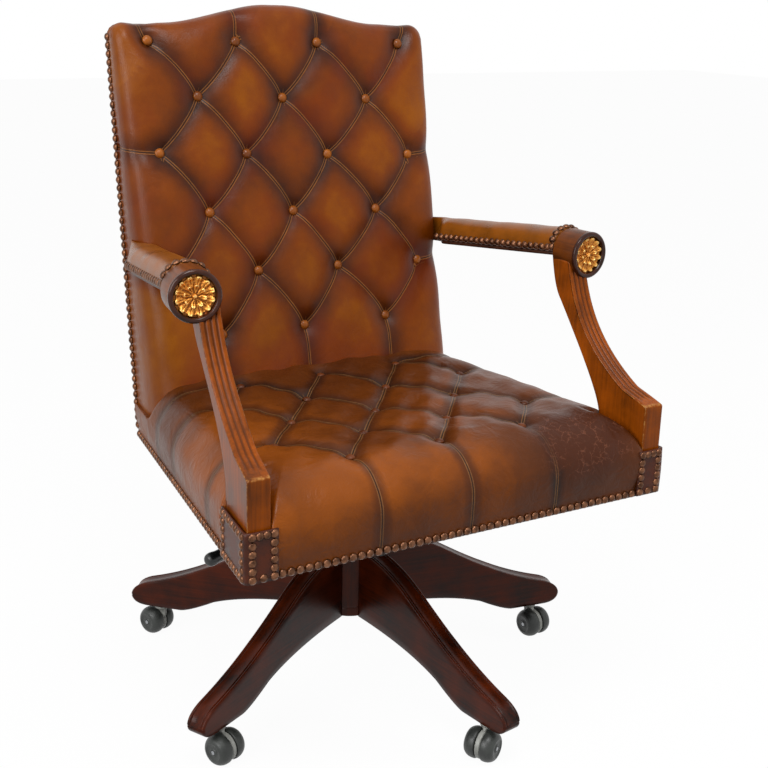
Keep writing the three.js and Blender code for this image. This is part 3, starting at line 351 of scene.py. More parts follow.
def leather(name, tones, roughness=0.34, halo=0.026, rubbed="#a0652f", creased=0.0006, scuffed=0.0):
    """Aniline-dyed cowhide, stained by hand and waxed. Where it is rubbed it is clear tan. It is dark in the
    folds and round the buttons, partly as stain and partly as painted shade, and the stain varies in slow
    clouds about 125 mm wide. The two edges of a fold are rubbed pale in places, partly as wear and partly as
    a painted highlight, with painted shade in the groove between them. A pebble grain about 1.3 mm across,
    stray creases and, where it is scuffed, bare pale specks break up the wax shine. Reads four attributes:
    crease, the distance to the folds in metres; pleat, the signed distance to the nearest fold line; stain,
    how much darker (or, below 0, lighter) a place is, which also carries painted shade and painted sheen; and
    crazed, 1 where the finish has cracked."""
    patina, brown, tan, golden, blush = tones
    finish, tree, shader = blank(name, IOR=1.45, Specular_IOR_Level=0.25)
    place = node(tree, "TexCoord")
    crease, pleat, stained, crazed = (node(tree, "Attribute", {"attribute_name": kind})
                                      for kind in ("crease", "pleat", "stain", "crazed"))
    clouds = node(tree, "TexNoise", {"Scale": 8.0, "Detail": 3.0, "Roughness": 0.5},
                  {"Vector": (place, "Object")})
    mottle = node(tree, "TexNoise", {"Scale": 38.0, "Detail": 6.0, "Roughness": 0.65},
                  {"Vector": (place, "Object")})
    # clear tan one halo away from a fold and dark in it, partly patina and partly painted shade of the fold,
    # shifted by the clouds, the mottle and the stain attribute, which carries painted shade and sheen too
    depth = node(tree, "MapRange", {"From Max": halo, "To Min": -0.32, "To Max": 0.22},
                 {"Value": (crease, "Fac")})
    cloudy = node(tree, "Math", {"operation": "MULTIPLY_ADD", 1: 0.55}, {0: (clouds, "Fac"), 2: (depth, 0)})
    mottled = node(tree, "Math", {"operation": "MULTIPLY_ADD", 1: 0.35}, {0: (mottle, "Fac"), 2: (cloudy, 0)})
    level = node(tree, "Math", {"operation": "SUBTRACT"}, {0: (mottled, 0), 1: (stained, "Fac")})
    tone = node(tree, "ValToRGB", None, {"Fac": (level, 0)},
                [(0.0, patina), (0.26, brown), (0.62, tan), (1.0, golden)])
    ruddy = node(tree, "TexNoise", {"Scale": 11.0, "Detail": 2.0, "Distortion": 0.5},
                 {"Vector": (place, "Object")})
    redder = node(tree, "MapRange", {"From Min": 0.45, "From Max": 0.68, "To Max": 0.4},
                  {"Value": (ruddy, "Fac")})
    hide = node(tree, "Mix", {"data_type": "RGBA", 7: blush}, {0: (redder, 0), 6: (tone, 0)})
    # the fold itself: two raised edges, rubbed pale in places, partly wear and partly a painted highlight,
    # with painted shade in the groove between them
    off = node(tree, "Math", {"operation": "ABSOLUTE"}, {0: (pleat, "Fac")})
    near = node(tree, "Math", {"operation": "LESS_THAN", 1: 0.006}, {0: (crease, "Fac")})
    edge = node(tree, "Math", {"operation": "COMPARE", 1: 0.0017, 2: 0.0007}, {0: (off, 0)})
    lip = node(tree, "Math", {"operation": "MULTIPLY"}, {0: (edge, 0), 1: (near, 0)})
    worn = node(tree, "Math", {"operation": "MULTIPLY"}, {0: (lip, 0), 1: (mottle, "Fac")})
    cleft = node(tree, "Math", {"operation": "LESS_THAN", 1: 0.0009}, {0: (off, 0)})
    groove = node(tree, "Math", {"operation": "MULTIPLY"}, {0: (cleft, 0), 1: (near, 0)})
    shaded = node(tree, "Math", {"operation": "MULTIPLY", 1: 0.8}, {0: (groove, 0)})
    lipped = node(tree, "Mix", {"data_type": "RGBA", 7: linear(rubbed)}, {0: (worn, 0), 6: (hide, 2)})
    lined = node(tree, "Mix", {"data_type": "RGBA", 7: patina}, {0: (shaded, 0), 6: (lipped, 2)})
    # where it has crazed: red-black, with a net of pale hair cracks about 12 mm wide
    bent = node(tree, "Mix", {"data_type": "RGBA", 0: 0.03}, {6: (place, "Object"), 7: (mottle, "Color")})
    cracks = node(tree, "TexVoronoi", {"feature": "DISTANCE_TO_EDGE", "Scale": 80.0}, {"Vector": (bent, 2)})
    hair = node(tree, "MapRange", {"From Max": 0.035, "To Min": 0.75, "To Max": 0.0},
                {"Value": (cracks, "Distance")})
    broken = node(tree, "MapRange", {"From Min": 0.44, "From Max": 0.56}, {"Value": (mottle, "Fac")})
    cracked = node(tree, "Math", {"operation": "MULTIPLY"}, {0: (hair, 0), 1: (broken, 0)})
    dull = node(tree, "Mix", {"data_type": "RGBA", 6: linear("#451e08"), 7: linear("#85513a")},
                {0: (cracked, 0)})
    spread = node(tree, "Math", {"operation": "MULTIPLY_ADD", 1: 0.6, 2: -0.3}, {0: (mottle, "Fac")})
    ragged = node(tree, "Math", {"operation": "ADD"}, {0: (spread, 0), 1: (crazed, "Fac")})
    where = node(tree, "MapRange", {"From Min": 0.30, "From Max": 0.75}, {"Value": (ragged, 0)})
    base = node(tree, "Mix", {"data_type": "RGBA"}, {0: (where, 0), 6: (lined, 2), 7: (dull, 2)})
    speck = node(tree, "TexNoise", {"Scale": 70.0, "Detail": 8.0, "Roughness": 0.75},
                 {"Vector": (place, "Object")})
    bare = node(tree, "MapRange", {"From Min": 0.70, "From Max": 0.73, "To Max": scuffed},
                {"Value": (speck, "Fac")})
    chafed = node(tree, "Mix", {"data_type": "RGBA", 7: linear("#a67c52")}, {0: (bare, 0), 6: (base, 2)})
    # relief: pebble grain, stray creases, cracks, and the fold's two edges
    grain = node(tree, "TexVoronoi", {"Scale": 760.0}, {"Vector": (place, "Object")})
    skin = node(tree, "Math", {"operation": "MULTIPLY_ADD", 1: 0.5},
                {0: (grain, "Distance"), 2: (mottle, "Fac")})
    split = node(tree, "Math", {"operation": "MULTIPLY"}, {0: (cracked, 0), 1: (where, 0)})
    relief = node(tree, "Math", {"operation": "SUBTRACT"}, {0: (skin, 0), 1: (split, 0)})
    ridge = node(tree, "Math", {"operation": "SUBTRACT"}, {0: (lip, 0), 1: (groove, 0)})
    folded = node(tree, "Bump", {"Strength": 0.5, "Distance": 0.0012}, {"Height": (ridge, 0)})
    wrinkle = node(tree, "TexNoise", {"Scale": 34.0, "Detail": 3.0, "Distortion": 2.2},
                   {"Vector": (place, "Object")})
    wrinkled = node(tree, "Bump", {"Strength": 0.7, "Distance": creased},
                    {"Height": (wrinkle, 0), "Normal": (folded, 0)})
    bumped = node(tree, "Bump", {"Strength": 0.28, "Distance": 0.0008},
                  {"Height": (relief, 0), "Normal": (wrinkled, 0)})
    shine = node(tree, "MapRange", {"From Min": 0.3, "From Max": 0.7, "To Min": roughness - 0.06,
                                    "To Max": roughness + 0.10}, {"Value": (mottle, "Fac")})
    feed(tree, shader, Base_Color=(chafed, 2), Normal=(bumped, 0), Roughness=(shine, 0))
    return finish


def smooth_leather(name, light, dark, roughness=0.34):
    """The same waxed hide where it is stretched flat with no folds: stain in clouds and a fine pebble
    grain."""
    finish, tree, shader = blank(name, IOR=1.5, Specular_IOR_Level=0.25)
    place = node(tree, "TexCoord")
    stain = node(tree, "TexNoise", {"Scale": 26.0, "Detail": 6.0, "Roughness": 0.65},
                 {"Vector": (place, "Object")})
    tone = node(tree, "ValToRGB", None, {"Fac": (stain, "Fac")}, [(0.36, dark), (0.60, light)])
    grain = node(tree, "TexVoronoi", {"Scale": 760.0}, {"Vector": (place, "Object")})
    skin = node(tree, "Math", {"operation": "MULTIPLY_ADD", 1: 0.5},
                {0: (grain, "Distance"), 2: (stain, "Fac")})
    bumped = node(tree, "Bump", {"Strength": 0.28, "Distance": 0.0008}, {"Height": (skin, 0)})
    shine = node(tree, "MapRange", {"From Min": 0.3, "From Max": 0.7, "To Min": roughness - 0.06,
                                    "To Max": roughness + 0.10}, {"Value": (stain, "Fac")})
    feed(tree, shader, Base_Color=(tone, "Color"), Normal=(bumped, 0), Roughness=(shine, 0))
    return finish


def timber(name, light, dark, worn, roughness, coat, lines_per_metre=230.0):
    """Hardwood, stained and shellacked: fine grain lines about 4 mm apart that run along the piece, slow
    changes of colour and a low shine. Reads two attributes: grain, whose first coordinate runs along the
    piece, and edge, above 0 at a rubbed arris, which shows pale wood, and below 0 in a hollow, which
    keeps the old polish."""
    finish, tree, shader = blank(name, IOR=1.5, Specular_IOR_Level=0.15, Coat_Weight=coat,
                                 Coat_Roughness=0.15)
    along = node(tree, "Attribute", {"attribute_name": "grain"})
    edge = node(tree, "Attribute", {"attribute_name": "edge"})
    stretched = node(tree, "Mapping", {"Scale": (9.0, lines_per_metre, lines_per_metre)},
                     {"Vector": (along, "Vector")})
    lines = node(tree, "TexNoise", {"Scale": 1.0, "Detail": 4.0, "Roughness": 0.6, "Distortion": 0.6},
                 {"Vector": (stretched, 0)})
    place = node(tree, "TexCoord")
    blotch = node(tree, "TexNoise", {"Scale": 20.0, "Detail": 4.0}, {"Vector": (place, "Object")})
    chips = node(tree, "TexNoise", {"Scale": 170.0, "Detail": 5.0, "Roughness": 0.7},
                 {"Vector": (place, "Object")})
    mixed = node(tree, "Math", {"operation": "MULTIPLY_ADD", 1: 0.6}, {0: (lines, 0), 2: (blotch, 0)})
    tone = node(tree, "ValToRGB", None, {"Fac": (mixed, 0)}, [(0.55, dark), (1.05, light)])
    hollow = node(tree, "MapRange", {"From Min": -1.0, "From Max": 0.0, "To Min": 0.85, "To Max": 0.0},
                  {"Value": (edge, "Fac")})
    shaded = node(tree, "Mix", {"data_type": "RGBA", 7: dark}, {0: (hollow, 0), 6: (tone, 0)})
    rub = node(tree, "Math", {"operation": "MULTIPLY"}, {0: (edge, "Fac"), 1: (chips, 0)})
    bare = node(tree, "MapRange", {"From Min": 0.40, "From Max": 0.62}, {"Value": (rub, 0)})
    base = node(tree, "Mix", {"data_type": "RGBA", 7: linear(worn)}, {0: (bare, 0), 6: (shaded, 2)})
    bump = node(tree, "Bump", {"Strength": 0.15, "Distance": 0.0006}, {"Height": (lines, 0)})
    shine = node(tree, "MapRange", {"To Min": roughness - 0.05, "To Max": roughness + 0.12},
                 {"Value": (blotch, 0)})
    feed(tree, shader, Base_Color=(base, 2), Normal=(bump, 0), Roughness=(shine, 0))
    return finish


def plain(name, light, dark, roughness, metallic=0.0, scale=60.0, fine=400.0, bump=0.1, spread=0.08):
    """A metal, plastic or cloth whose colour drifts between two tones, with a fine surface texture of
    1 / fine metres."""
    finish, tree, shader = blank(name, Metallic=metallic)
    place = node(tree, "TexCoord")
    drift = node(tree, "TexNoise", {"Scale": scale, "Detail": 4.0, "Roughness": 0.6},
                 {"Vector": (place, "Object")})
    tone = node(tree, "ValToRGB", None, {"Fac": (drift, 0)}, [(0.35, dark), (0.65, light)])
    surface = node(tree, "TexNoise", {"Scale": fine, "Detail": 3.0}, {"Vector": (place, "Object")})
    relief = node(tree, "Bump", {"Strength": bump, "Distance": 0.0004}, {"Height": (surface, 0)})
    shine = node(tree, "MapRange", {"From Min": 0.3, "From Max": 0.7, "To Min": roughness - spread,
                                    "To Max": roughness + spread}, {"Value": (drift, 0)})
    feed(tree, shader, Base_Color=(tone, "Color"), Normal=(relief, 0), Roughness=(shine, 0))
    return finish


def gilding():
    """Gold leaf burnished on carved wood: bright on the high leaves, brown in the hollows, partly as toner
    left there and partly as painted shade.
    Reads the attribute relief, 0 in a hollow and 1 on the highest leaf."""
    finish, tree, shader = blank("burnished gilding", Metallic=0.6)
    relief = node(tree, "Attribute", {"attribute_name": "relief"})
    place = node(tree, "TexCoord")
    speckle = node(tree, "TexNoise", {"Scale": 500.0, "Detail": 3.0}, {"Vector": (place, "Object")})
    level = node(tree, "Math", {"operation": "MULTIPLY_ADD", 1: 0.3}, {0: (speckle, 0), 2: (relief, "Fac")})
    # the dark low stops are painted shade in the hollows as well as toner
    tone = node(tree, "ValToRGB", None, {"Fac": (level, 0)},
                [(0.06, "#7a4212"), (0.30, "#b06a1e"), (0.75, "#dc963a"), (1.0, "#f0c272")])
    shine = node(tree, "MapRange", {"To Min": 0.42, "To Max": 0.26}, {"Value": (level, 0)})
    feed(tree, shader, Base_Color=(tone, "Color"), Roughness=(shine, 0))
    return finish


MADE = {}


def finish_for(key):
    """The chair's finishes, each made once."""
    if key in MADE:
        return MADE[key]
    scene = bpy.context.scene
    hide, wood, trim = scene.chair_upholstery, scene.chair_timber, scene.chair_trim
    golden, tan, brown, patina, arm, base, bronze = (
        (*value, 1.0)
        for value in (hide.golden, hide.tan, hide.brown, hide.patina, wood.arm, wood.base, trim.bronze))
    makers = {
        "back_leather": lambda: leather("waxed hide, back", (patina, brown, tan, golden, linear("#6e2301"))),
        "seat_leather": lambda: leather(
            "waxed hide, seat", map(linear, ("#240f04", "#431e05", "#602e06", "#90490c", "#522507")),
            0.36, halo=0.015, rubbed="#96683c", creased=0.0018, scuffed=0.7),
        "pad_leather": lambda: smooth_leather("waxed hide, arms", "#8a4c0c", "#74400a", 0.30),
        "panel_leather": lambda: smooth_leather("waxed hide, back panel", "#6b3006", "#542305", 0.38),
        "patch_leather": lambda: smooth_leather("red-brown hide", "#55240e", "#2f1208", 0.40),
        "button_leather": lambda: smooth_leather("button hide", "#a05818", "#6e370f", 0.22),
        "seat_button_leather": lambda: smooth_leather("seat button hide", "#6a330e", "#431d08", 0.34),
        "walnut": lambda: timber("polished walnut", arm, linear("#5a2a04"), "#b98244", 0.32, coat=0.04),
        # the scroll's walnut is darker than the arm's, partly standing for painted shade on the drum's side
        "walnut_scroll": lambda: timber("walnut, worn polish", linear("#7a3d0a"), linear("#35190a"),
                                        "#a8743c", 0.3, coat=0.06),
        "walnut_dark": lambda: timber("walnut, dark polish", linear("#47200f"), linear("#200d06"),
                                      "#8a5a3a", 0.2, coat=0.2),
        "mahogany": lambda: timber("stained mahogany", base, linear("#190702"), "#8b4424", 0.28, coat=0.03),
        "beech": lambda: plain("sawn beech", "#c19a68", "#a97f4d", 0.6),
        "stained_beech": lambda: plain("stained beech", "#4d250f", "#2e1508", 0.5),
        # metals, polished on the high spots with tarnish in patches, then plastics and cloth
        "gilt": gilding,
        "bronze": lambda: plain("antique bronze nail heads", bronze, "#432a1c", 0.34, 0.85, scale=110.0),
        "brass": lambda: plain("aged brass", "#a07a3c", "#5f4420", 0.36, 0.9),
        "black_steel": lambda: plain("black enamelled steel", "#1d1d1f", "#141415", 0.42),
        "bright_steel": lambda: plain("chromed steel", "#a3a5a8", "#8b8d90", 0.24, 1.0),
        "grey_plastic": lambda: plain("moulded grey nylon", "#aeafa9", "#90918b", 0.40),
        "tread": lambda: plain("moulded dark polyurethane", "#3a3d3a", "#262826", 0.42),
        "black_plastic": lambda: plain("moulded black ABS", "#1a1b1b", "#101111", 0.35),
        "jute": lambda: plain("woven jute", "#927c57", "#73603f", 0.85, fine=900.0, bump=0.6),
        "black_cloth": lambda: plain("black bonded cloth", "#1a1918", "#100f0e", 0.9, fine=1200.0, bump=0.5),
    }
    MADE[key] = makers[key]()
    return MADE[key]


# ------------------------------------------------------------ buttoning

def bowed(start, end, bow):
    """A fold from one button to another: a line whose middle is moved sideways by bow, as
    4 t (1 - t) of it along the way."""
    t = np.linspace(0, 1, 7)[:, None]
    run = end - start
    across = np.array([-run[1], run[0]]) / max(np.linalg.norm(run), 1e-9)
    return start + run * t + across * bow * 4 * t * (1 - t)


def diamond_folds(buttons, pitch, row, bow):
    """Folds between each button and its neighbours half a pitch along and one row lower."""
    folds = []
    for start in buttons:
        for side in (-1, 1):
            gap = np.linalg.norm(buttons - start - [side * pitch / 2, -row], axis=1)
            if gap.min() < 0.25 * row:
                folds.append(bowed(start, buttons[gap.argmin()], bow))
    return folds


def crease_field(points, folds, buttons, softness=3.2):
    """For points of a flat panel: the distance to the folds, blended as (sum d^-n)^(-1/n) so that it is
    smooth between them; the signed distance to the nearest fold; and the distance to the nearest
    button."""
    flat = points.reshape(-1, 2)
    total = np.zeros(len(flat))
    nearest = np.full(len(flat), 9.0)
    signed = np.zeros(len(flat))
    for fold in folds:
        a, b = fold[:-1], fold[1:]
        run = b - a
        t = np.clip(((flat[:, None] - a) * run).sum(-1) / (run ** 2).sum(-1), 0, 1)
        off = flat[:, None] - a - run * t[..., None]
        away = np.linalg.norm(off, axis=-1)
        k = away.argmin(1)
        rows = np.arange(len(flat))
        distance = away[rows, k]
        turn = run[k, 0] * off[rows, k, 1] - run[k, 1] * off[rows, k, 0]
        total += np.maximum(distance, 1e-5) ** -softness
        closer = distance < nearest
        signed = np.where(closer, distance * np.sign(turn), signed)
        nearest = np.minimum(nearest, distance)
    to_button = np.linalg.norm(flat[:, None] - buttons, axis=-1).min(1)
    return [v.reshape(points.shape[:-1]) for v in (total ** (-1 / softness), signed, to_button)]


def square_rings(count_u, count_v, inner):
    """A grid over the square -1..1. Inside the inner part it is used as it is. Outside, each point
    is on a ring: its place round the square's edge, and how far out from the inner part it lies."""
    u, v = np.meshgrid(np.linspace(-1, 1, count_u), np.linspace(-1, 1, count_v), indexing="ij")
    ring = np.maximum(np.abs(u), np.abs(v))
    scale = np.where(ring <= inner, inner, ring)
    outward = np.clip((ring - inner) / (1 - inner), 0, 1)
    return u / scale, v / scale, outward


def fan(count_u, count_v, centre):
    """Triangles that close a grid's border with a fan round one more point."""
    index = np.arange(count_u * count_v).reshape(count_u, count_v)
    border = np.concatenate([index[:, 0], index[-1, 1:], index[-2::-1, -1], index[0, -2:0:-1]])
    return [(int(b), int(a), centre) for a, b in zip(border, np.roll(border, -1))]


def buttons_on(name, places, normals, radius, finish):
    """Covered buttons: flattened domes of leather, about 15 mm across."""
    shape = domes(places, normals, radius, radius * 0.62, sides=24)
    return make(name, shape, "seat", finish_for(finish))


# ------------------------------------------------------------ back

BACK_PITCH, BACK_ROW = 0.1346, 0.0826
BACK_LOWEST = 0.510


def back_top(x):
    """Height of the back's top: level shoulders that sweep up to a broad crown."""
    sweep = smoothstep(0.3, 0.95, 1 - np.clip(np.abs(x) / 0.252, 0, 1))
    return 0.944 + 0.026 * sweep


def back_outline(u, v, inset):
    """A point of the back's outline square in (x, z): across by u and up by v, drawn in by inset."""
    foot = BACK_FOOT + np.minimum(inset, 0.03)
    rise = (v + 1) / 2
    half = 0.248 + 0.004 * rise - inset
    x = u * half
    arch = 0.020 - np.minimum(np.maximum(inset, 0), 0.010)
    into = np.clip((np.abs(x) - half + arch) / arch, 0, 1)
    top = back_top(x) - inset - arch * (1 - np.sqrt(1 - into ** 2))
    return x, foot + (top - foot) * rise


def back_buttons():
    """Six rows of three and four buttons in turn, from the foot, in (x, z), set a little off the
    lattice as by hand: outwards by 9 mm (x / 135 mm)^2 - 4 mm, and half way up by 5 mm - 0.045 x."""
    places = np.array([((n - (3 + k % 2 - 1) / 2) * BACK_PITCH, BACK_LOWEST + k * BACK_ROW)
                       for k in range(6) for n in range(3 + k % 2)])
    x, z = places.T
    spread = 0.009 * np.minimum((x / 0.135) ** 2, 1) - 0.004
    rise = (0.005 - 0.045 * x) * np.clip(1 - ((z - 0.74) / 0.21) ** 2, 0, 1)
    return np.stack([x + np.abs(spread) * np.sign(x) * (spread > 0) - 0.004 * (spread < 0), z + rise], -1)


def back_folds(buttons):
    """Diamond folds, and pleats from the outer buttons to the back's top, foot and sides."""
    folds = diamond_folds(buttons, BACK_PITCH, BACK_ROW, 0.004)
    for x, z in buttons:
        if z > BACK_LOWEST + 4.5 * BACK_ROW:
            folds.append(np.array([[x, z], [x + 0.25 * x * (abs(x) > 0.15), z + 0.1]]))
        if z < BACK_LOWEST + 0.6 * BACK_ROW:
            folds.append(np.array([[x, z - 0.3], [x, z]]))
        if abs(x) > 0.19 and z < BACK_LOWEST + 4.5 * BACK_ROW:
            folds.append(np.array([[x, z], [x + math.copysign(0.2, x), z + 0.004]]))
    return folds


def back_surface(count_u=240, count_v=290):
    """The padded front, sides and top. The inner part is a plane that leans back; the outer part
    follows a profile of (inset, fraction of the thickness) round to the rear edge."""
    u, v, outward = square_rings(count_u, count_v, 0.72)
    inset, forward = np.moveaxis(smooth_path(
        [(0.048, 1), (0.033, 0.985), (0.019, 0.945), (0.008, 0.875), (0.001, 0.77), (-0.003, 0.6),
         (-0.003, 0.38), (0, 0.17), (0.0005, 0.0)], outward), -1, 0)
    x, z = back_outline(u, v, inset)
    rear = BACK_REAR + (z - SEAT_BOTTOM) * BACK_REAR_LEAN
    front = BACK_FRONT + (z - BACK_REFERENCE) * BACK_LEAN
    return np.stack([x, rear + (front - rear) * forward, z], -1), outward


def spots(points, places):
    """The sum of soft patches at some points. A patch (centre, radii, strength) gives
    strength exp(-sum(((p - centre) / radii)^2))."""
    return sum(strength * np.exp(-(((points - centre) / radii) ** 2).sum(-1))
               for centre, radii, strength in places)


def uneven(across, along, height):
    """Uneven stuffing: height times the mean of three sines of different slants, 64 to 97 mm long."""
    return height / 3 * (np.sin(57 * across + 31 * along + 1.0) + np.sin(-43 * across + 71 * along + 2.2)
                         + np.sin(83 * across - 52 * along + 0.4))


def by_tuft(flat, pitch, row, first, crease):
    """A value from -1 to 1 for each diamond of a panel, from a sine of its place in the lattice, falling
    to 0 at the folds."""
    across, up = flat[..., 0] / pitch, (flat[..., 1] - first) / (2 * row)
    one, other = np.floor(across + up), np.floor(across - up)
    return np.sin(one * 12.9 + other * 78.2) * smoothstep(0.004, 0.022, crease)


def pressed_in(crease, to_button, fold, pit):
    """How far padding is pressed in: by fold in a crease, falling away as the mean, 7 to 3, of
    exp(-(d / 15 mm)^1.4) and exp(-(d / 42 mm)^2), and by pit more at a button, as exp(-(d / 16 mm)^1.6)."""
    near, wide = np.exp(-(crease / 0.015) ** 1.4), np.exp(-(crease / 0.042) ** 2)
    return fold * (0.7 * near + 0.3 * wide) + pit * np.exp(-(to_button / 0.016) ** 1.6)


# where the hide is darker (above 0) or lighter (below 0): centre, radii, strength. The third is a painted
# sheen on the upper left roll and the fifth painted shade along the foot of the back above the seat; the
# others only make the hide darker or lighter there
BACK_TONE_AND_PAINTED_LIGHT = [
    ((-0.225, -0.03, 0.690), (0.050, 0.2, 0.060), 0.62),
    ((-0.215, -0.03, 0.520), (0.050, 0.2, 0.060), -0.42),
    ((-0.235, -0.03, 0.850), (0.045, 0.2, 0.090), -0.40),
    ((0.060, -0.03, 0.930), (0.130, 0.2, 0.040), 0.30),
    ((-0.020, -0.03, 0.440), (0.200, 0.2, 0.030), 0.35),
    ((0.245, -0.03, 0.640), (0.025, 0.2, 0.120), 0.20),
    ((0.110, -0.03, 0.560), (0.070, 0.2, 0.060), -0.12),
]


def make_back(settings):
    """The buttoned back cushion: the padded surface pressed in along its folds and at its buttons."""
    base, outward = back_surface()
    buttons = back_buttons()
    crease, pleat, to_button = crease_field(base[..., [0, 2]], back_folds(buttons), buttons)
    normal = grid_normals(base)
    fade = (1 - 0.75 * smoothstep(0.08, 0.40, outward)) * (1 - smoothstep(0.80, 0.95, outward))
    fade *= 1 - 0.6 * smoothstep(0.935, 0.965, base[..., 2])
    depth = pressed_in(crease, to_button, settings.fold_depth * fade, settings.button_depth)
    depth += uneven(base[..., 0], base[..., 2], 0.0011) * fade
    points = base - normal * depth[..., None]
    flat = points.reshape(-1, 3)
    centre = np.array([[0.0, BACK_REAR + 0.03, 0.65]])
    shape = np.vstack([flat, centre]), quads(*base.shape[:2])
    # the stain attribute adds painted shade round the buttons, with the patina there, to the table's painted
    # shade and sheen and to each tuft's own tone
    stain = spots(base, BACK_TONE_AND_PAINTED_LIGHT) + 0.20 * np.exp(-(to_button / 0.022) ** 2)
    stain += 0.055 * by_tuft(base[..., [0, 2]], BACK_PITCH, BACK_ROW, BACK_LOWEST, crease)
    extend = lambda a: np.append(a.ravel(), 0.05)
    cushion = make("back_padding", shape, "seat", finish_for("back_leather"), ["back_cushion"],
                   {"crease": extend(crease), "pleat": extend(pleat), "stain": extend(stain),
                    "crazed": extend(0 * stain)}, clean=False, extra=fan(*base.shape[:2], len(flat)))
    out = np.array([0, -math.cos(math.atan(BACK_LEAN)), math.sin(math.atan(BACK_LEAN))])
    x, z = buttons.T
    seats = np.stack([x, BACK_FRONT + (z - BACK_REFERENCE) * BACK_LEAN, z], -1)
    seats -= out * (settings.fold_depth + settings.button_depth - 0.0022)
    buttons_on("back_buttons", seats, np.broadcast_to(out, seats.shape), settings.button_radius,
               "button_leather")


def make_back_panel():
    """The outside of the back: a leather panel 3 mm thick over the frame, with its edges turned under
    and its middle out by 2.5 mm more, y = rear face + 3 mm + 2.5 mm (1 - u^2)(1 - v^2)."""
    count_u, count_v = 90, 110
    u, v = np.meshgrid(np.linspace(-1, 1, count_u), np.linspace(-1, 1, count_v), indexing="ij")
    x, z = back_outline(u, v, 0.0)
    rear = BACK_REAR + (z - SEAT_BOTTOM) * BACK_REAR_LEAN
    edge = np.minimum(1 - np.abs(u), 1 - np.abs(v))
    y = rear + 0.003 * np.sqrt(np.clip(edge / 0.012, 0, 1)) + 0.0025 * (1 - u ** 2) * (1 - v ** 2)
    y += 0.0006 * np.sin(x * 31 + 2 * np.sin(z * 9)) * (1 - u ** 2) * (1 - v ** 2)
    outer = np.stack([x, y, z], -1)
    inner = np.stack([x, rear, z], -1)
    points = np.vstack([outer.reshape(-1, 3), inner.reshape(-1, 3)])
    faces = quads(count_u, count_v)
    shape = points, np.vstack([faces[:, ::-1], faces + count_u * count_v])
    make("back_panel", shape, "seat", finish_for("panel_leather"), ["back_cover"])


# ------------------------------------------------------------ seat

SEAT_PITCH, SEAT_ROW = 0.1325, 0.0830
SEAT_FIRST = -0.232


def side_line(y):
    """Half-width of the seat at a depth: it narrows evenly to the rear."""
    return SEAT_FRONT_HALF - (y - SEAT_FRONT) * math.tan(SPLAY)


def seat_buttons():
    """Five rows of three and four buttons in turn, from the front, in (x, y)."""
    places = []
    for k in range(5):
        count = 3 if k % 2 == 0 else 4
        for n in range(count):
            places.append(((n - (count - 1) / 2) * SEAT_PITCH, SEAT_FIRST + k * SEAT_ROW))
    return np.array(places)


def seat_folds(buttons):
    """Diamond folds, and pleats from the outer buttons over the front and the sides."""
    folds = diamond_folds(buttons, SEAT_PITCH, SEAT_ROW, 0.003)
    for x, y in buttons:
        if y < SEAT_FIRST + 0.5 * SEAT_ROW:
            folds.append(np.array([[x, y], [x * 1.02, y - 0.3]]))
        if abs(x) > 0.19:
            folds.append(np.array([[x, y], [x + math.copysign(0.3, x), y - 0.035]]))
        if abs(abs(x) - SEAT_PITCH) < 0.01 and y > SEAT_FIRST + 3.5 * SEAT_ROW:
            folds.append(np.array([[x, y], [x + math.copysign(0.3, x), y - 0.02]]))
    return folds


def seat_sag(x, y):
    """How far the seat's middle is sat in: 13 mm exp(-(x / 0.20)^2 - ((y + 0.05) / 0.17)^2)."""
    return 0.013 * np.exp(-(x / 0.20) ** 2 - ((y + 0.05) / 0.17) ** 2)


def seat_surface(count_u=250, count_v=236):
    """The padded seat: a crowned plateau, a rounded shoulder and an upright side. The outer part
    follows a profile of (inset, height), and is drawn in round each front post."""
    u, v, outward = square_rings(count_u, count_v, 0.62)
    inset, height = np.moveaxis(smooth_path(
        [(0.080, 0.1145), (0.055, 0.1095), (0.034, 0.1015), (0.018, 0.090), (0.006, 0.076), (0.0, 0.062),
         (-0.0015, 0.048), (0.0005, 0.023), (0.0025, 0.0113), (0.0026, 0.0)], outward), -1, 0)
    rear = SEAT_REAR - inset
    front = SEAT_FRONT + inset
    y = front + (rear - front) * (v + 1) / 2
    notch = (POST_WIDTH + POST_INSET + 0.0006) * (1 - smoothstep(POST_REAR + 0.0002, POST_REAR + 0.0035, y))
    reach = 0.078
    drawn = np.where(inset < reach, notch * (1 - np.clip(inset, 0, reach) / reach), 0)
    x = u * (side_line(y) - inset - drawn)
    inside = 1 - smoothstep(0.0, 0.25, outward)
    crown = 0.003 * inside * (1 - u * u) - seat_sag(x, y) * (1 - smoothstep(0.0, 0.4, outward))
    return np.stack([x, y, SEAT_BOTTOM + height + crown], -1), outward


# as for the back: centre, radii, strength; the third is a painted highlight on the front roll and the fifth
# painted shade where the seat runs under the back. SEAT_CRAZED is where the seat's finish has cracked
SEAT_TONE_AND_PAINTED_LIGHT = [
    ((-0.150, -0.300, 0.45), (0.110, 0.060, 0.06), -0.42),
    ((-0.260, -0.180, 0.42), (0.060, 0.200, 0.07), -0.50),
    ((0.010, -0.290, 0.45), (0.060, 0.040, 0.06), -0.16),
    ((0.190, -0.330, 0.41), (0.110, 0.080, 0.08), 0.34),
    ((0.000, 0.080, 0.45), (0.300, 0.090, 0.10), 0.26),
    ((0.060, -0.160, 0.45), (0.070, 0.050, 0.10), -0.08),
]
SEAT_CRAZED = [((0.195, -0.290, 0.44), (0.085, 0.075, 0.07), 1.15)]


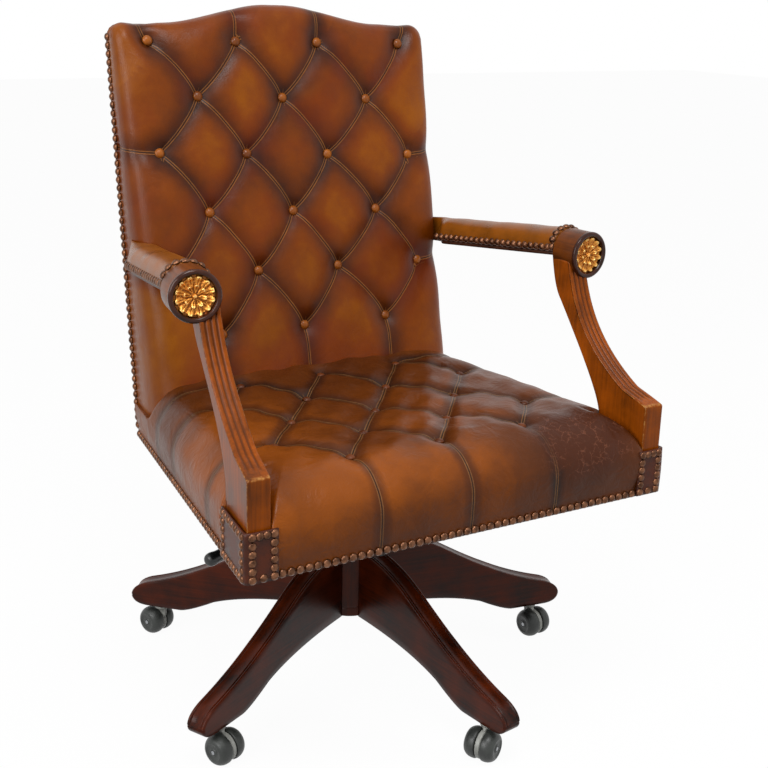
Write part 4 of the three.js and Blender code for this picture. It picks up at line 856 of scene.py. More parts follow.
def make_seat(settings):
    """The buttoned seat cushion, pressed in along its folds and pulled down at its buttons."""
    base, outward = seat_surface()
    buttons = seat_buttons()
    crease, pleat, to_button = crease_field(base[..., :2], seat_folds(buttons), buttons)
    normal = grid_normals(base)
    under_back = smoothstep(0.125, 0.15, base[..., 1])
    fade = (1 - 0.72 * smoothstep(0.0, 0.35, outward)) * (1 - smoothstep(0.75, 0.92, outward))
    near_post = smoothstep(0.0, 0.03, np.abs(base[..., 1] - POST_REAR) + 10 * (outward < 0.6))
    fold, pit = settings.fold_depth * 0.85, settings.button_depth
    depth = pressed_in(crease, to_button, fold * fade * near_post, pit * (1 - under_back))
    depth += uneven(1.6 * base[..., 0], 1.6 * base[..., 1], 0.0022) * fade
    points = base - normal * depth[..., None]
    # under the back, the stuffing is squashed down by 12 mm
    squashed = np.minimum(points[..., 2], SEAT_BOTTOM + 0.066 - 0.012)
    points[..., 2] += (squashed - points[..., 2]) * under_back
    flat = points.reshape(-1, 3)
    shape = np.vstack([flat, [[0.0, -0.04, SEAT_BOTTOM + 0.002]]]), quads(*base.shape[:2])
    # the stain attribute adds painted shade round the buttons, with the patina there, to the table's painted
    # shade and highlight and to each tuft's own tone
    stain = spots(base, SEAT_TONE_AND_PAINTED_LIGHT) + 0.15 * np.exp(-(to_button / 0.018) ** 2)
    stain += 0.06 * by_tuft(base[..., :2], SEAT_PITCH, SEAT_ROW, SEAT_FIRST, crease)
    extend = lambda a: np.append(a.ravel(), 0.05)
    cushion = make("seat_padding", shape, "seat", finish_for("seat_leather"), ["seat_cushion"],
                   {"crease": extend(crease), "pleat": extend(pleat), "stain": extend(stain),
                    "crazed": extend(spots(base, SEAT_CRAZED))},
                   clean=False, extra=fan(*base.shape[:2], len(flat)))
    top = base.reshape(-1, 3)
    off_plateau = 10 * (outward.reshape(-1, 1) > 0.3)
    nearest = [np.linalg.norm(top[:, :2] - button + off_plateau, axis=1).argmin() for button in buttons]
    normals = normal.reshape(-1, 3)[nearest]
    height = top[nearest, 2] - (fold + pit - 0.0020)
    buttons_on("seat_buttons", np.column_stack([buttons, height]), normals, settings.button_radius * 0.92,
               "seat_button_leather")


def nails(name, rows, settings, replaces=()):
    """One piece of all the nail heads in some rows."""
    places = np.vstack([row[0] for row in rows])
    normals = np.vstack([row[1] for row in rows])
    shape = domes(places, normals, settings.radius, settings.radius * 0.64)
    return make(name, shape, "seat", finish_for("bronze"), replaces)


# ------------------------------------------------------------ corner patches and nails

def outward_at(side):
    """Outward normals of the seat's front, of one side and of its rear, as (front, side, rear)."""
    flank = np.array([side * math.cos(SPLAY), math.sin(SPLAY), 0])
    return np.array([0, -1, 0.0]), flank, np.array([0, 1, 0.0])


def seat_corner_path(inset, side, inner, rear, steps=9):
    """A line in plan round a front corner of the seat, from x = inner along the front, through an
    8 mm bend, to y = rear along the side."""
    front = SEAT_FRONT + inset
    corner = np.array([side_line(front) - inset, front])
    along = np.array([-math.sin(SPLAY), math.cos(SPLAY)])
    bend = 0.008
    start, end = corner - [bend, 0], corner + along * bend
    t = np.linspace(0, 1, steps)[:, None]
    curve = (1 - t) ** 2 * start + 2 * t * (1 - t) * corner + t * t * end
    last = corner + along * (rear - front) / along[1]
    first = np.linspace([inner, front], start, 10)[:-1]
    path = np.vstack([first, curve, np.linspace(end, last, 20)[1:]])
    return path * [side, 1]


PATCH_INNER = SEAT_FRONT_HALF - 0.042


def make_patch(label, side, settings):
    """A corner patch: a leather strip bent round the corner over the foot of the arm post, a little
    full in the middle, with its nails."""
    path = seat_corner_path(-0.0016, side, PATCH_INNER, POST_REAR)
    inner = seat_corner_path(0.0012, side, PATCH_INNER, POST_REAR)
    rise = np.linspace(0, 1, 16)
    low, high = SEAT_BOTTOM + 0.0015, PATCH_TOP
    z = low + (high - low) * rise
    u = np.linspace(-1, 1, len(path))
    bulge = 0.0008 * (1 - u[:, None] ** 4) * np.sin(np.pi * rise)[None]
    tangent = np.gradient(path, axis=0)
    tangent /= np.linalg.norm(tangent, axis=1, keepdims=True)
    outwards = np.stack([tangent[:, 1], -tangent[:, 0]], -1) * side
    face = path[:, None] + outwards[:, None] * bulge[..., None]
    outer = np.dstack([face, np.broadcast_to(z, bulge.shape)])
    back = np.dstack([np.broadcast_to(inner[:, None], face.shape), np.broadcast_to(z, bulge.shape)])
    loop = np.concatenate([outer, back[:, ::-1]], 1)
    count = loop.shape[1]
    skin = quads(count, len(path), wrap=True)
    points = np.swapaxes(loop, 0, 1).reshape(-1, 3)
    edge = np.arange(count // 2)
    ends = [np.stack([(edge[:-1]) * len(path) + k, (edge[1:]) * len(path) + k,
                      (count - 1 - edge[1:]) * len(path) + k, (count - 1 - edge[:-1]) * len(path) + k], -1)
            for k in (0, len(path) - 1)]
    make(f"corner_leather_{label}", (points, np.vstack([skin, *ends])), "seat",
         finish_for("patch_leather"), [f"corner_patch_{label}"])
    return patch_nails(side, settings)


def patch_nails(side, settings):
    """Nails of a corner patch: up its inner edge, along its top, down both sides of the bend and down
    its rear edge, and along its foot."""
    front, flank, _ = outward_at(side)
    low, foot, top = SEAT_BOTTOM + 0.0175, SEAT_BOTTOM + 0.0068, PATCH_TOP - 0.0058
    face_y = SEAT_FRONT - 0.0016
    inner_x, bend_x = SEAT_FRONT_HALF - 0.0365, SEAT_FRONT_HALF - 0.0085
    flank_at = lambda y, z: [side * (side_line(y) + 0.0016), y, z]
    bend_y, rear_y = SEAT_FRONT + 0.0085, POST_REAR - 0.006
    lines = [
        (front, [[side * inner_x, face_y, low], [side * inner_x, face_y, top]]),
        (front, [[side * (inner_x + 0.0093), face_y, top], [side * (bend_x - 0.0093), face_y, top]]),
        (front, [[side * bend_x, face_y, low], [side * bend_x, face_y, top]]),
        (flank, [flank_at(bend_y, low), flank_at(bend_y, top)]),
        (flank, [flank_at(bend_y + 0.0115, top), flank_at(rear_y - 0.0115, top)]),
        (flank, [flank_at(rear_y, low), flank_at(rear_y, top)]),
        (front, [[side * inner_x, face_y, foot], [side * bend_x, face_y, foot]]),
        (flank, [flank_at(bend_y, foot), flank_at(rear_y, foot)]),
    ]
    rows = []
    for normal, line in lines:
        places = spaced(line, settings.pitch * 0.97)
        rows.append((places, np.broadcast_to(normal, places.shape)))
    return rows


def seat_nail_rows(settings):
    """Nails along the seat's lower edge, all the way round between the corner patches."""
    z, inset = SEAT_BOTTOM + 0.0056, 0.0018
    rows = []
    front_y, rear_y = SEAT_FRONT + inset, SEAT_REAR - inset
    front, right, rear = outward_at(1)
    left = outward_at(-1)[1]
    rear_half = side_line(rear_y) - inset
    corner = 0.006
    patch_x, patch_y = PATCH_INNER - corner, POST_REAR + corner
    flank_half = side_line(patch_y) - inset
    lines = [
        (front, [-patch_x, front_y, z], [patch_x, front_y, z]),
        (right, [flank_half, patch_y, z], [rear_half, rear_y - corner, z]),
        (rear, [rear_half - corner, rear_y, z], [-rear_half + corner, rear_y, z]),
        (left, [-rear_half, rear_y - corner, z], [-flank_half, patch_y, z]),
    ]
    for normal, start, end in lines:
        places = spaced([start, end], settings.pitch)
        rows.append((places, np.broadcast_to(normal, places.shape)))
    return rows


def back_nail_rows(settings):
    """Nails on the back's sides, just in front of its rear edge, up to the shoulders."""
    rows = []
    z = np.linspace(BACK_FOOT + 0.008, 0.926, 60)
    half = np.interp(z, [BACK_FOOT, 0.944], [0.248, 0.252]) + 0.0006
    y = BACK_REAR + (z - SEAT_BOTTOM) * BACK_REAR_LEAN - 0.0062
    for side in (-1, 1):
        places = spaced(np.stack([side * half, y, z], -1), settings.pitch)
        rows.append((places, np.broadcast_to([float(side), 0, 0], places.shape)))
    return rows


# ------------------------------------------------------------ arms

# the arm leans out by ARM_SPREAD on its way up, and its pad then turns back to the seat's rear
ARM_SPREAD = 0.0070
ARM_TURN = SPLAY + math.atan(ARM_SPREAD / 0.32)
ARM_AXIS = np.array([-math.sin(ARM_TURN), math.cos(ARM_TURN), 0.0])
ARM_ACROSS = np.array([math.cos(ARM_TURN), math.sin(ARM_TURN), 0.0])
DRUM_CENTRE = np.array([side_line(DRUM_Y) - POST_INSET - POST_WIDTH + DRUM_RADIUS + ARM_SPREAD, DRUM_Y,
                        DRUM_Z - 0.002])
ARM_SLOPE = 0.1
FLUTE_DEPTH = 0.0019
PAD_START, PAD_END = 0.0440, 0.360
PAD_HALF = 0.029
# the pad's outer side runs in to the back from about 0.27 on, by PAD_TAPER for each metre
PAD_REACH, PAD_TAPER = 0.366, 0.274


def bezier(*knots, steps=12):
    """Points of a quadratic or cubic curve with the given control points, without its first point."""
    t = np.linspace(0, 1, steps + 1)[1:, None]
    k = np.array(knots, float)
    if len(k) == 3:
        return (1 - t) ** 2 * k[0] + 2 * t * (1 - t) * k[1] + t * t * k[2]
    return (1 - t) ** 3 * k[0] + 3 * t * (1 - t) ** 2 * k[1] + 3 * t * t * (1 - t) * k[2] + t ** 3 * k[3]


def along_length(points, count, power=1.0):
    """Points spaced along a line by (k / n)^power of its length."""
    run = np.concatenate([[0], np.cumsum(np.linalg.norm(np.diff(points, axis=0), axis=1))])
    at = np.linspace(0, 1, count) ** power * run[-1]
    return np.stack([np.interp(at, run, points[:, k]) for k in range(points.shape[1])], -1)


def post_edges():
    """Front and rear edges of an arm post in (y, z), station by station: the block at its foot, then
    the swept arm up to the drum. The third result is how far each station is above the block."""
    top = 0.468
    block_front = np.linspace([POST_FRONT, 0.344], [POST_FRONT, top - 0.0022], 22)
    step = [POST_FRONT + 0.0025, top + 0.0009]
    bend = bezier([POST_FRONT, top - 0.0022], [POST_FRONT + 0.0002, top + 0.0002], step, steps=4)
    sweep = np.vstack([
        bezier(step, [-0.2928, 0.475], [-0.2678, 0.482], steps=14),
        bezier([-0.2678, 0.482], [-0.188, 0.527], [-0.158, 0.577], [-0.1435, 0.637], steps=50)])
    block_rear = np.linspace([POST_REAR, 0.344], [POST_REAR, 0.430], 26)
    rear = np.vstack([[POST_REAR, 0.430], [POST_REAR, 0.433],
                      bezier([POST_REAR, 0.433], [-0.223, 0.468], [-0.172, 0.532], [-0.132, 0.582], steps=50),
                      bezier([-0.132, 0.582], [-0.117, 0.597], [-0.109, 0.640], steps=14)])
    front = np.vstack([block_front, bend, along_length(sweep, 76)])
    rear = np.vstack([block_rear, along_length(rear, 76)])
    rise = np.concatenate([np.zeros(26), np.linspace(0, 1, 76)])
    return front, rear[:len(front)], rise[:len(front)]


def post_section():
    """The post's section as (across -1..1, along 0..1, cut-in of the arrises, cut-in of the flutes):
    three flutes down its front, and arrises rounded by 2.2 mm."""
    across = np.linspace(-1, 1, 45)
    half, soft = POST_WIDTH / 2, 0.0022
    from_edge = (1 - np.abs(across)) * half
    rounding = soft - np.sqrt(soft ** 2 - (soft - np.minimum(from_edge, soft)) ** 2)
    flutes = sum(np.exp(-((across - c) / 0.115) ** 4) for c in (-0.5, 0.0, 0.5)) * FLUTE_DEPTH
    sides = np.array([0.03, 0.07, 0.3, 0.5, 0.7, 0.9])
    ones = np.ones(6)
    loop = np.concatenate([
        np.stack([across, 0 * across, rounding, flutes], -1),
        np.stack([ones, sides, 0 * ones, 0 * ones], -1),
        np.stack([across[::-1], 0 * across + 1, rounding[::-1], 0 * across], -1)[::4],
        np.stack([-ones, sides[::-1], 0 * ones, 0 * ones], -1),
    ])
    return loop


def make_post(label, side):
    """An arm post: its section carried along between its front and rear edges. A point is
    F + (R - F) b, moved in by the section's cut, at x = side face + a times the half-width."""
    front, rear, rise = post_edges()
    a, b, rounding, flutes = post_section().T[:, None]
    span = rear - front
    reach = np.linalg.norm(span, axis=1, keepdims=True)
    direction = span / reach
    fluted = smoothstep(0.035, 0.075, rise)[:, None] * (1 - smoothstep(0.985, 1.0, rise)[:, None])
    cut = np.where(b < 0.5, rounding + flutes * fluted, -rounding)
    place = front[:, None] + span[:, None] * b[..., None] + direction[:, None] * cut[..., None]
    y, z = place[..., 0], place[..., 1]
    lean = ARM_SPREAD * smoothstep(0.47, 0.64, z)
    x = side_line(y) - POST_INSET - POST_WIDTH / 2 + lean + a * (POST_WIDTH / 2)
    points = np.stack([x * side, y, z], -1)
    count_s, count_l = y.shape
    ring = np.swapaxes(points, 0, 1)
    shape_points = ring.reshape(-1, 3)
    faces = quads(count_l, count_s, wrap=True)
    along = (rise * 0.25 + np.minimum(front[:, 1], 0.468))[None]
    grain = np.stack([np.broadcast_to(along, (count_l, count_s)), ring[..., 0] * side, ring[..., 1]], -1)
    arris = np.exp(-((1 - np.abs(a)) * 0.015 / 0.0016) ** 2 - (b * reach / 0.0016) ** 2)
    ragged = np.exp(-((z - 0.4685) / 0.004) ** 2) * (b < 0.05) * (y < POST_FRONT + 0.006)
    ridge = np.exp(-((np.abs(a) - 0.25) / 0.07) ** 2) * 0.5 * fluted * (b < 0.05)
    edge = np.maximum(np.maximum(arris * 0.95, ragged), ridge)
    edge = np.where(b < 0.02, np.maximum(edge, 0) - flutes / FLUTE_DEPTH * fluted, edge)
    make(f"arm_upright_{label}", (shape_points, faces), "seat", finish_for("walnut"),
         [f"arm_post_{label}"], {"grain": grain.reshape(-1, 3), "edge": edge.T.ravel()},
         extra=end_faces(count_l, count_s))


def in_arm(points, side):
    """Points of (across, backwards, up) about the arm's own axis, placed on one side of the chair."""
    placed = (DRUM_CENTRE + points[..., :1] * ARM_ACROSS + points[..., 1:2] * ARM_AXIS
              + points[..., 2:] * np.array([0, 0, 1.0]))
    return placed * [side, 1, 1]


def make_drum(label, side):
    """The scroll at the front of an arm: a short drum, and a darker moulded ring round its sunk face."""
    r, d = DRUM_RADIUS, DRUM_DEPTH
    parts = (
        ("scroll", "walnut_scroll",
         [(0, 0.0052), (0.0262, 0.0052), (0.0262, 0.0034), (r - 0.0004, 0.0034),
          (r, 0.0040), (r, d - 0.002), (r - 0.002, d), (0, d)], 0.0004),
        ("scroll_ring", "walnut_dark",
         [(0.0262, 0.0048), (0.0262, 0.0010), (0.0280, -0.0016), (0.0312, -0.0020),
          (0.0334, 0.0002), (0.0334, 0.0040), (0.0318, 0.0048), (0.0262, 0.0048)], 0.0011))
    for name, finish, corners, soft in parts:
        points, faces = lathe(rounded_profile(corners, soft, 4), 96)
        points = points[:, [0, 2, 1]]
        around = np.arctan2(points[:, 2], points[:, 0])
        grain = np.stack([points[:, 1], around * 0.02, np.hypot(points[:, 0], points[:, 2])], -1)
        make(f"arm_{name}_{label}", (in_arm(points, side), faces), "seat", finish_for(finish), (),
             {"grain": grain, "edge": np.exp(-((points[:, 1] + 0.0020) / 0.0008) ** 2) * 0.6})


def make_rosette(label, side):
    """A carved rosette on a disc, made as a height field over (r, a): an outer row of twelve leaves with
    twelve small ones between them, an inner row of eight petals and a beaded knob. A leaf's section is a
    half ellipse, its tip rolls up, and a vein is cut down its middle. The attribute relief is the height
    over 5 mm."""
    count_r, count_a = 84, 288
    r = np.linspace(0, 1, count_r)[:, None]
    a = np.linspace(0, 2 * np.pi, count_a, endpoint=False)[None]
    radius = 0.0262

    def leaves(count, start, end, height, turn, roll):
        across = np.abs(((a * count / (2 * np.pi) + turn) % 1) * 2 - 1)
        run = np.clip((r - start) / (end - start), 0, 1)
        width = 0.86 * np.sin(np.pi * np.clip(run * 0.80 + 0.10, 0, 1)) ** 0.6
        body = np.sqrt(np.clip(1 - (across / np.maximum(width, 1e-3)) ** 2, 0, 1))
        rolled = 0.45 + 0.55 * smoothstep(0.45, 0.85, run) * roll - 1.1 * smoothstep(0.9, 1.0, run)
        vein = 0.35 * np.exp(-(across / 0.14) ** 2) * smoothstep(0.1, 0.3, run)
        vein *= 1 - smoothstep(0.75, 0.9, run)
        return height * body * np.clip(rolled - vein, 0, 2) * ((r >= start) & (r <= end))

    outer = leaves(12, 0.42, 0.99, 0.0040, 0.0, 1.3)
    between = leaves(12, 0.64, 0.90, 0.0022, 0.5, 0.7)
    inner = leaves(8, 0.15, 0.58, 0.0048, 0.25, 1.25)
    knob = 0.0052 * np.sqrt(np.clip(1 - (r / 0.14) ** 2, 0, 1)) * (0.8 + 0.2 * np.cos(a * 6) * (r > 0.05))
    height = np.maximum(np.maximum(outer, between), np.maximum(inner, knob))
    front = np.stack([r * radius * np.cos(a), 0.0046 - height, r * radius * np.sin(a)], -1)
    rear = np.stack([0 * a, 0.0050 + 0 * a, 0 * a], -1)
    points = np.swapaxes(np.concatenate([front, rear], 0), 0, 1).reshape(-1, 3)
    relief = np.concatenate([height / 0.005, 0 * a], 0).T.ravel()
    make(f"rosette_{label}", (in_arm(points, side), quads(count_a, count_r + 1, wrap=True)), "seat",
         finish_for("gilt"), [f"arm_rosette_{label}"], {"relief": relief})


def pad_surface(count_s=150, count_l=72):
    """The padded leather on an arm, in (across, backwards, up): a flat-bottomed domed section carried
    along the falling arm. Its front end is rounded against the drum, and behind, its outer side runs
    in to the back while its inner side stops at the back's side."""
    s = np.linspace(0, 1, count_s)
    run = PAD_START + (PAD_END - PAD_START) * s
    outer = np.minimum(PAD_HALF, 0.0022 + (PAD_REACH - run) * PAD_TAPER)
    outer = outer - 0.0012 * smoothstep(0.24, 0.27, run) * (1 - smoothstep(0.27, 0.31, run))
    axis_x = DRUM_CENTRE[0] - run * math.sin(ARM_TURN)
    against = (axis_x - 0.2528) / math.cos(ARM_TURN)
    inner = PAD_HALF + (np.minimum(against, PAD_HALF) - PAD_HALF) * smoothstep(0.285, 0.325, run)
    angle = np.linspace(0, 2 * np.pi, count_l, endpoint=False)[None]
    c, d = np.cos(angle), np.sin(angle)
    middle_x = ((outer - inner) / 2)[:, None]
    half = ((outer + inner) / 2)[:, None]
    low, side, top = 0.0010, 0.0100, 0.0335
    across = middle_x + half * np.sign(c) * np.abs(c) ** np.where(d < 0, 0.22, 0.92)
    up = np.where(d >= 0, side + (top - side) * np.abs(d) ** 0.85, side + (side - low) * -np.abs(d) ** 0.3)
    into = 1 - np.clip((run - PAD_START) / 0.006, 0, 1)
    fullness = (1 - 0.10 * (1 - np.sqrt(np.clip(1 - into ** 2, 0, 1))))[:, None]
    across = middle_x + (across - middle_x) * fullness
    up = side + (up - side) * fullness
    soft = 0.0004 * np.sin(run * 47 + 1.3)[:, None] + 0.0002 * np.sin(run * 121)[:, None]
    up = up + soft * np.maximum(d, 0)
    back = np.broadcast_to(run[:, None], up.shape)
    return np.stack([across, back, up - ARM_SLOPE * (back - DRUM_DEPTH)], -1)


def make_board(label, side):
    """The wooden rail that the pad is nailed to: a board 6 mm thick under it, four fifths as wide."""
    count_s, count_l = 40, 36
    grid_points = pad_surface(count_s, count_l)
    middle_line = grid_points.mean(1, keepdims=True)
    board = middle_line + (grid_points - middle_line) * [0.80, 1, 0]
    under = ARM_SLOPE * (board[..., 1] - DRUM_DEPTH)
    upper = np.arange(count_l) < count_l // 2
    board[..., 2] = np.where(upper, 0.0012, -0.0050) - under
    ring = np.swapaxes(in_arm(board, side), 0, 1)
    shape = ring.reshape(-1, 3), quads(count_l, count_s, wrap=True)
    make(f"arm_board_{label}", shape, "seat", finish_for("stained_beech"),
         [f"arm_rail_{label}"], extra=end_faces(count_l, count_s))


def make_arm(label, side, settings):
    """A pad with its nails, over a post, a scroll and a rosette."""
    grid_points = pad_surface()
    count_s, count_l = grid_points.shape[:2]
    ends = grid_points[[0, -1]].mean(1, keepdims=True)
    closed = np.concatenate([np.broadcast_to(ends[:1], (1, count_l, 3)), grid_points,
                             np.broadcast_to(ends[1:], (1, count_l, 3))], 0)
    placed = in_arm(closed, side)
    ring = np.swapaxes(placed, 0, 1)
    pad = make(f"arm_padding_{label}", (ring.reshape(-1, 3), quads(count_l, count_s + 2, wrap=True)), "seat",
               finish_for("pad_leather"), [f"arm_pad_{label}"])
    make_board(label, side)
    make_post(label, side)
    make_drum(label, side)
    make_rosette(label, side)
    lifted = lambda run, up: up - ARM_SLOPE * (run - DRUM_DEPTH)
    nail_half = 0.0292
    rows = []
    for sign, end in ((1, 0.325), (-1, 0.300)):
        run = np.linspace(PAD_START + 0.012, end, 40)
        half = nail_half if sign < 0 else np.minimum(nail_half, 0.0024 + (PAD_REACH - run) * PAD_TAPER)
        line = np.stack([sign * half * np.ones_like(run), run, lifted(run, 0.0068)], -1)
        places = spaced(line, settings.pitch)
        slope = np.where(places[:, 1:2] > 0.268, PAD_TAPER * (sign > 0), 0.0)
        normal = np.concatenate([sign * np.ones_like(slope), slope, 0 * slope], 1)
        rows.append((places, normal / np.linalg.norm(normal, axis=1, keepdims=True)))
    angle = np.linspace(-0.12, np.pi + 0.12, 60)
    arch = np.stack([nail_half * np.sign(np.cos(angle)) * np.abs(np.cos(angle)) ** 0.92,
                     np.full(60, PAD_START + 0.0050),
                     0.0100 + 0.0237 * np.maximum(np.sin(angle), -0.3)], -1)
    places = spaced(arch, settings.pitch * 0.97)
    normal = np.stack([places[:, 0], 0 * places[:, 0], places[:, 2] - 0.004], -1)
    rows.append((places, normal / np.linalg.norm(normal, axis=1, keepdims=True)))
    zero = in_arm(np.zeros((1, 3)), side)
    rows = [(in_arm(p, side), in_arm(n, side) - zero) for p, n in rows]
    nails(f"arm_nails_{label}", rows, settings, [f"arm_nail_trim_{label}"])


# ------------------------------------------------------------ legs and hub

LEG_PAD = 0.051
LEG_HALF = 0.015


def leg_edges(count=84):
    """Top and bottom edges of a leg in (distance from the column, height), station by station."""
    shoulder, top = LEG_PAD + 0.040, 0.209
    upper = np.vstack([
        [[0.022, top]],
        bezier([0.022, top], [0.090, top], [0.126, shoulder + 0.098], [0.148, shoulder + 0.086], steps=30),
        bezier([0.148, shoulder + 0.086], [0.173, shoulder + 0.071], [0.201, shoulder + 0.054],
               [0.228, shoulder + 0.041], steps=20),
        bezier([0.228, shoulder + 0.041], [0.263, shoulder + 0.023], [0.296, shoulder + 0.010],
               [0.332, shoulder], steps=20),
        bezier([0.332, shoulder], [0.3555, shoulder - 0.008], [LEG_REACH, 0.069], steps=16),
    ])
    lower = np.vstack([
        [[0.022, 0.098]],
        bezier([0.022, 0.098], [0.150, 0.098], [0.218, 0.0735], steps=30),
        bezier([0.218, 0.0735], [0.258, 0.053], [0.274, LEG_PAD], steps=16),
        [[0.334, LEG_PAD]],
        bezier([0.334, LEG_PAD], [0.3555, LEG_PAD + 0.001], [LEG_REACH, 0.0655], steps=12),
    ])
    start, edges = 0.041, []
    for line in (upper, lower):
        first = [[start, np.interp(start, line[:, 0], line[:, 1])]]
        edges.append(along_length(np.vstack([first, line[line[:, 0] > start]]), count))
    return edges


def leg_section():
    """A leg's section as (across, is it above, cut-in): a bead 5 mm wide along each upper edge, a
    quirk inside it and a shallow hollow between, with the lower edges rounded."""
    x = np.linspace(-LEG_HALF, LEG_HALF, 49)
    off = np.abs(x)
    bead = 0.0026 - np.sqrt(np.clip(0.0026 ** 2 - (off - 0.0124) ** 2, 0, None))
    hollow = 0.0004 + 0.0012 * np.cos(np.pi * off / 0.0184)
    cut = np.where(off > 0.0102, bead, np.where(off > 0.0088, 0.0025, hollow))
    low = np.linspace(LEG_HALF, -LEG_HALF, 17)
    soft = 0.0025
    into = soft - np.minimum(LEG_HALF - np.abs(low), soft)
    rounding = soft - np.sqrt(np.clip(soft ** 2 - into ** 2, 0, None))
    return x, cut, low, rounding


def make_leg(number):
    """One leg: the moulded top and the plain underside, joined by flat flanks."""
    upper, lower = leg_edges()
    x, cut, low, rounding = leg_section()
    turn = BASE_TURN + 2 * np.pi * (number - 1) / LEG_COUNT

    def normal(path):
        along = np.gradient(path, axis=0)
        along /= np.linalg.norm(along, axis=1, keepdims=True)
        return np.stack([-along[:, 1], along[:, 0]], -1)

    top = upper[:, None] - normal(upper)[:, None] * cut[None, :, None]
    bottom = lower[:, None] + normal(lower)[:, None] * rounding[None, :, None]
    flank = np.linspace(0, 1, 8)[1:-1]
    right = top[:, -1:] + (bottom[:, :1] - top[:, -1:]) * flank[None, :, None]
    left = bottom[:, -1:] + (top[:, :1] - bottom[:, -1:]) * flank[None, :, None]
    side_x = np.concatenate([x, np.full(6, LEG_HALF), low, np.full(6, -LEG_HALF)])
    loop = np.concatenate([top, right, bottom, left], 1)
    points = np.dstack([loop[..., 0], np.broadcast_to(-side_x, loop.shape[:2]), loop[..., 1]])
    flat = np.swapaxes(points, 0, 1)
    count_l, count_s = flat.shape[:2]
    grain = flat.reshape(-1, 3) + [number * 0.7, 0, 0]
    above = np.concatenate([np.exp(-((np.abs(x) - 0.0124) / 0.0016) ** 2), np.zeros(29)])
    tip = smoothstep(0.30, 0.352, loop[..., 0])
    edge = above[None] * (0.35 + 0.5 * tip)
    shape = about_z(flat.reshape(-1, 3), turn), quads(count_l, count_s, wrap=True)
    make(f"leg_{number}_moulded", shape, "base", finish_for("mahogany"), [f"leg_{number}"],
         {"grain": grain, "edge": edge.T.ravel()}, extra=end_faces(count_l, count_s))


def turned_piece(name, corners, radius, body, finish, replaces, sides=72, place=(0, 0, 0), closed=False,
                 axis=(0, 0, 1), lobes=0, lobe_depth=0.0, steps=4):
    """A turned piece with softened corners, its profile's heights measured along an axis from a place."""
    profile = rounded_profile(corners, radius, steps)
    points, faces = lathe(profile, sides, lobes, lobe_depth, closed)
    grain = np.stack([points[:, 2], np.arctan2(points[:, 1], points[:, 0]) * 0.03,
                      np.hypot(points[:, 0], points[:, 1])], -1)
    return make(name, (turned_to(points, axis, place), faces), body, finish_for(finish), replaces,
                {"grain": grain, "edge": np.zeros(len(points))})


def make_hub():
    """The turned hub and the brass cap under it."""
    hub = [(0.0058, 0.098), (0.038, 0.098), (0.044, 0.1005), (0.044, 0.112), (0.0425, 0.114), (0.044, 0.116),
           (0.044, 0.196), (0.0425, 0.198), (0.044, 0.200), (0.044, 0.208), (0.040, 0.213), (0.0256, 0.213),
           (0.0253, 0.1030), (0.0058, 0.1030), (0.0058, 0.098)]
    cap = [(0, 0.0837), (0.006, 0.0842), (0.0125, 0.0885), (0.0158, 0.0945), (0.016, 0.0965),
           (0.0150, 0.0977), (0.0055, 0.0977), (0.0055, 0.1028), (0, 0.1028)]
    turned_piece("hub_turned", hub, 0.0016, "base", "mahogany", ["hub_block"])
    turned_piece("hub_stud_cap", cap, 0.002, "base", "brass", ["hub_cap"])


# ------------------------------------------------------------ casters

def loft(sections, sides=32):
    """A closed skin over level ovals, each (x centre, x half, y half, height), with |c|^0.7 corners."""
    a = np.linspace(0, 2 * np.pi, sides, endpoint=False)[:, None]
    s = np.array(sections, float)
    x = s[None, :, 0] + s[None, :, 1] * np.sign(np.cos(a)) * np.abs(np.cos(a)) ** 0.7
    y = s[None, :, 2] * np.sign(np.sin(a)) * np.abs(np.sin(a)) ** 0.7
    points = np.stack([x, y, np.broadcast_to(s[None, :, 3], x.shape)], -1)
    return points.reshape(-1, 3), quads(sides, len(s), wrap=True)


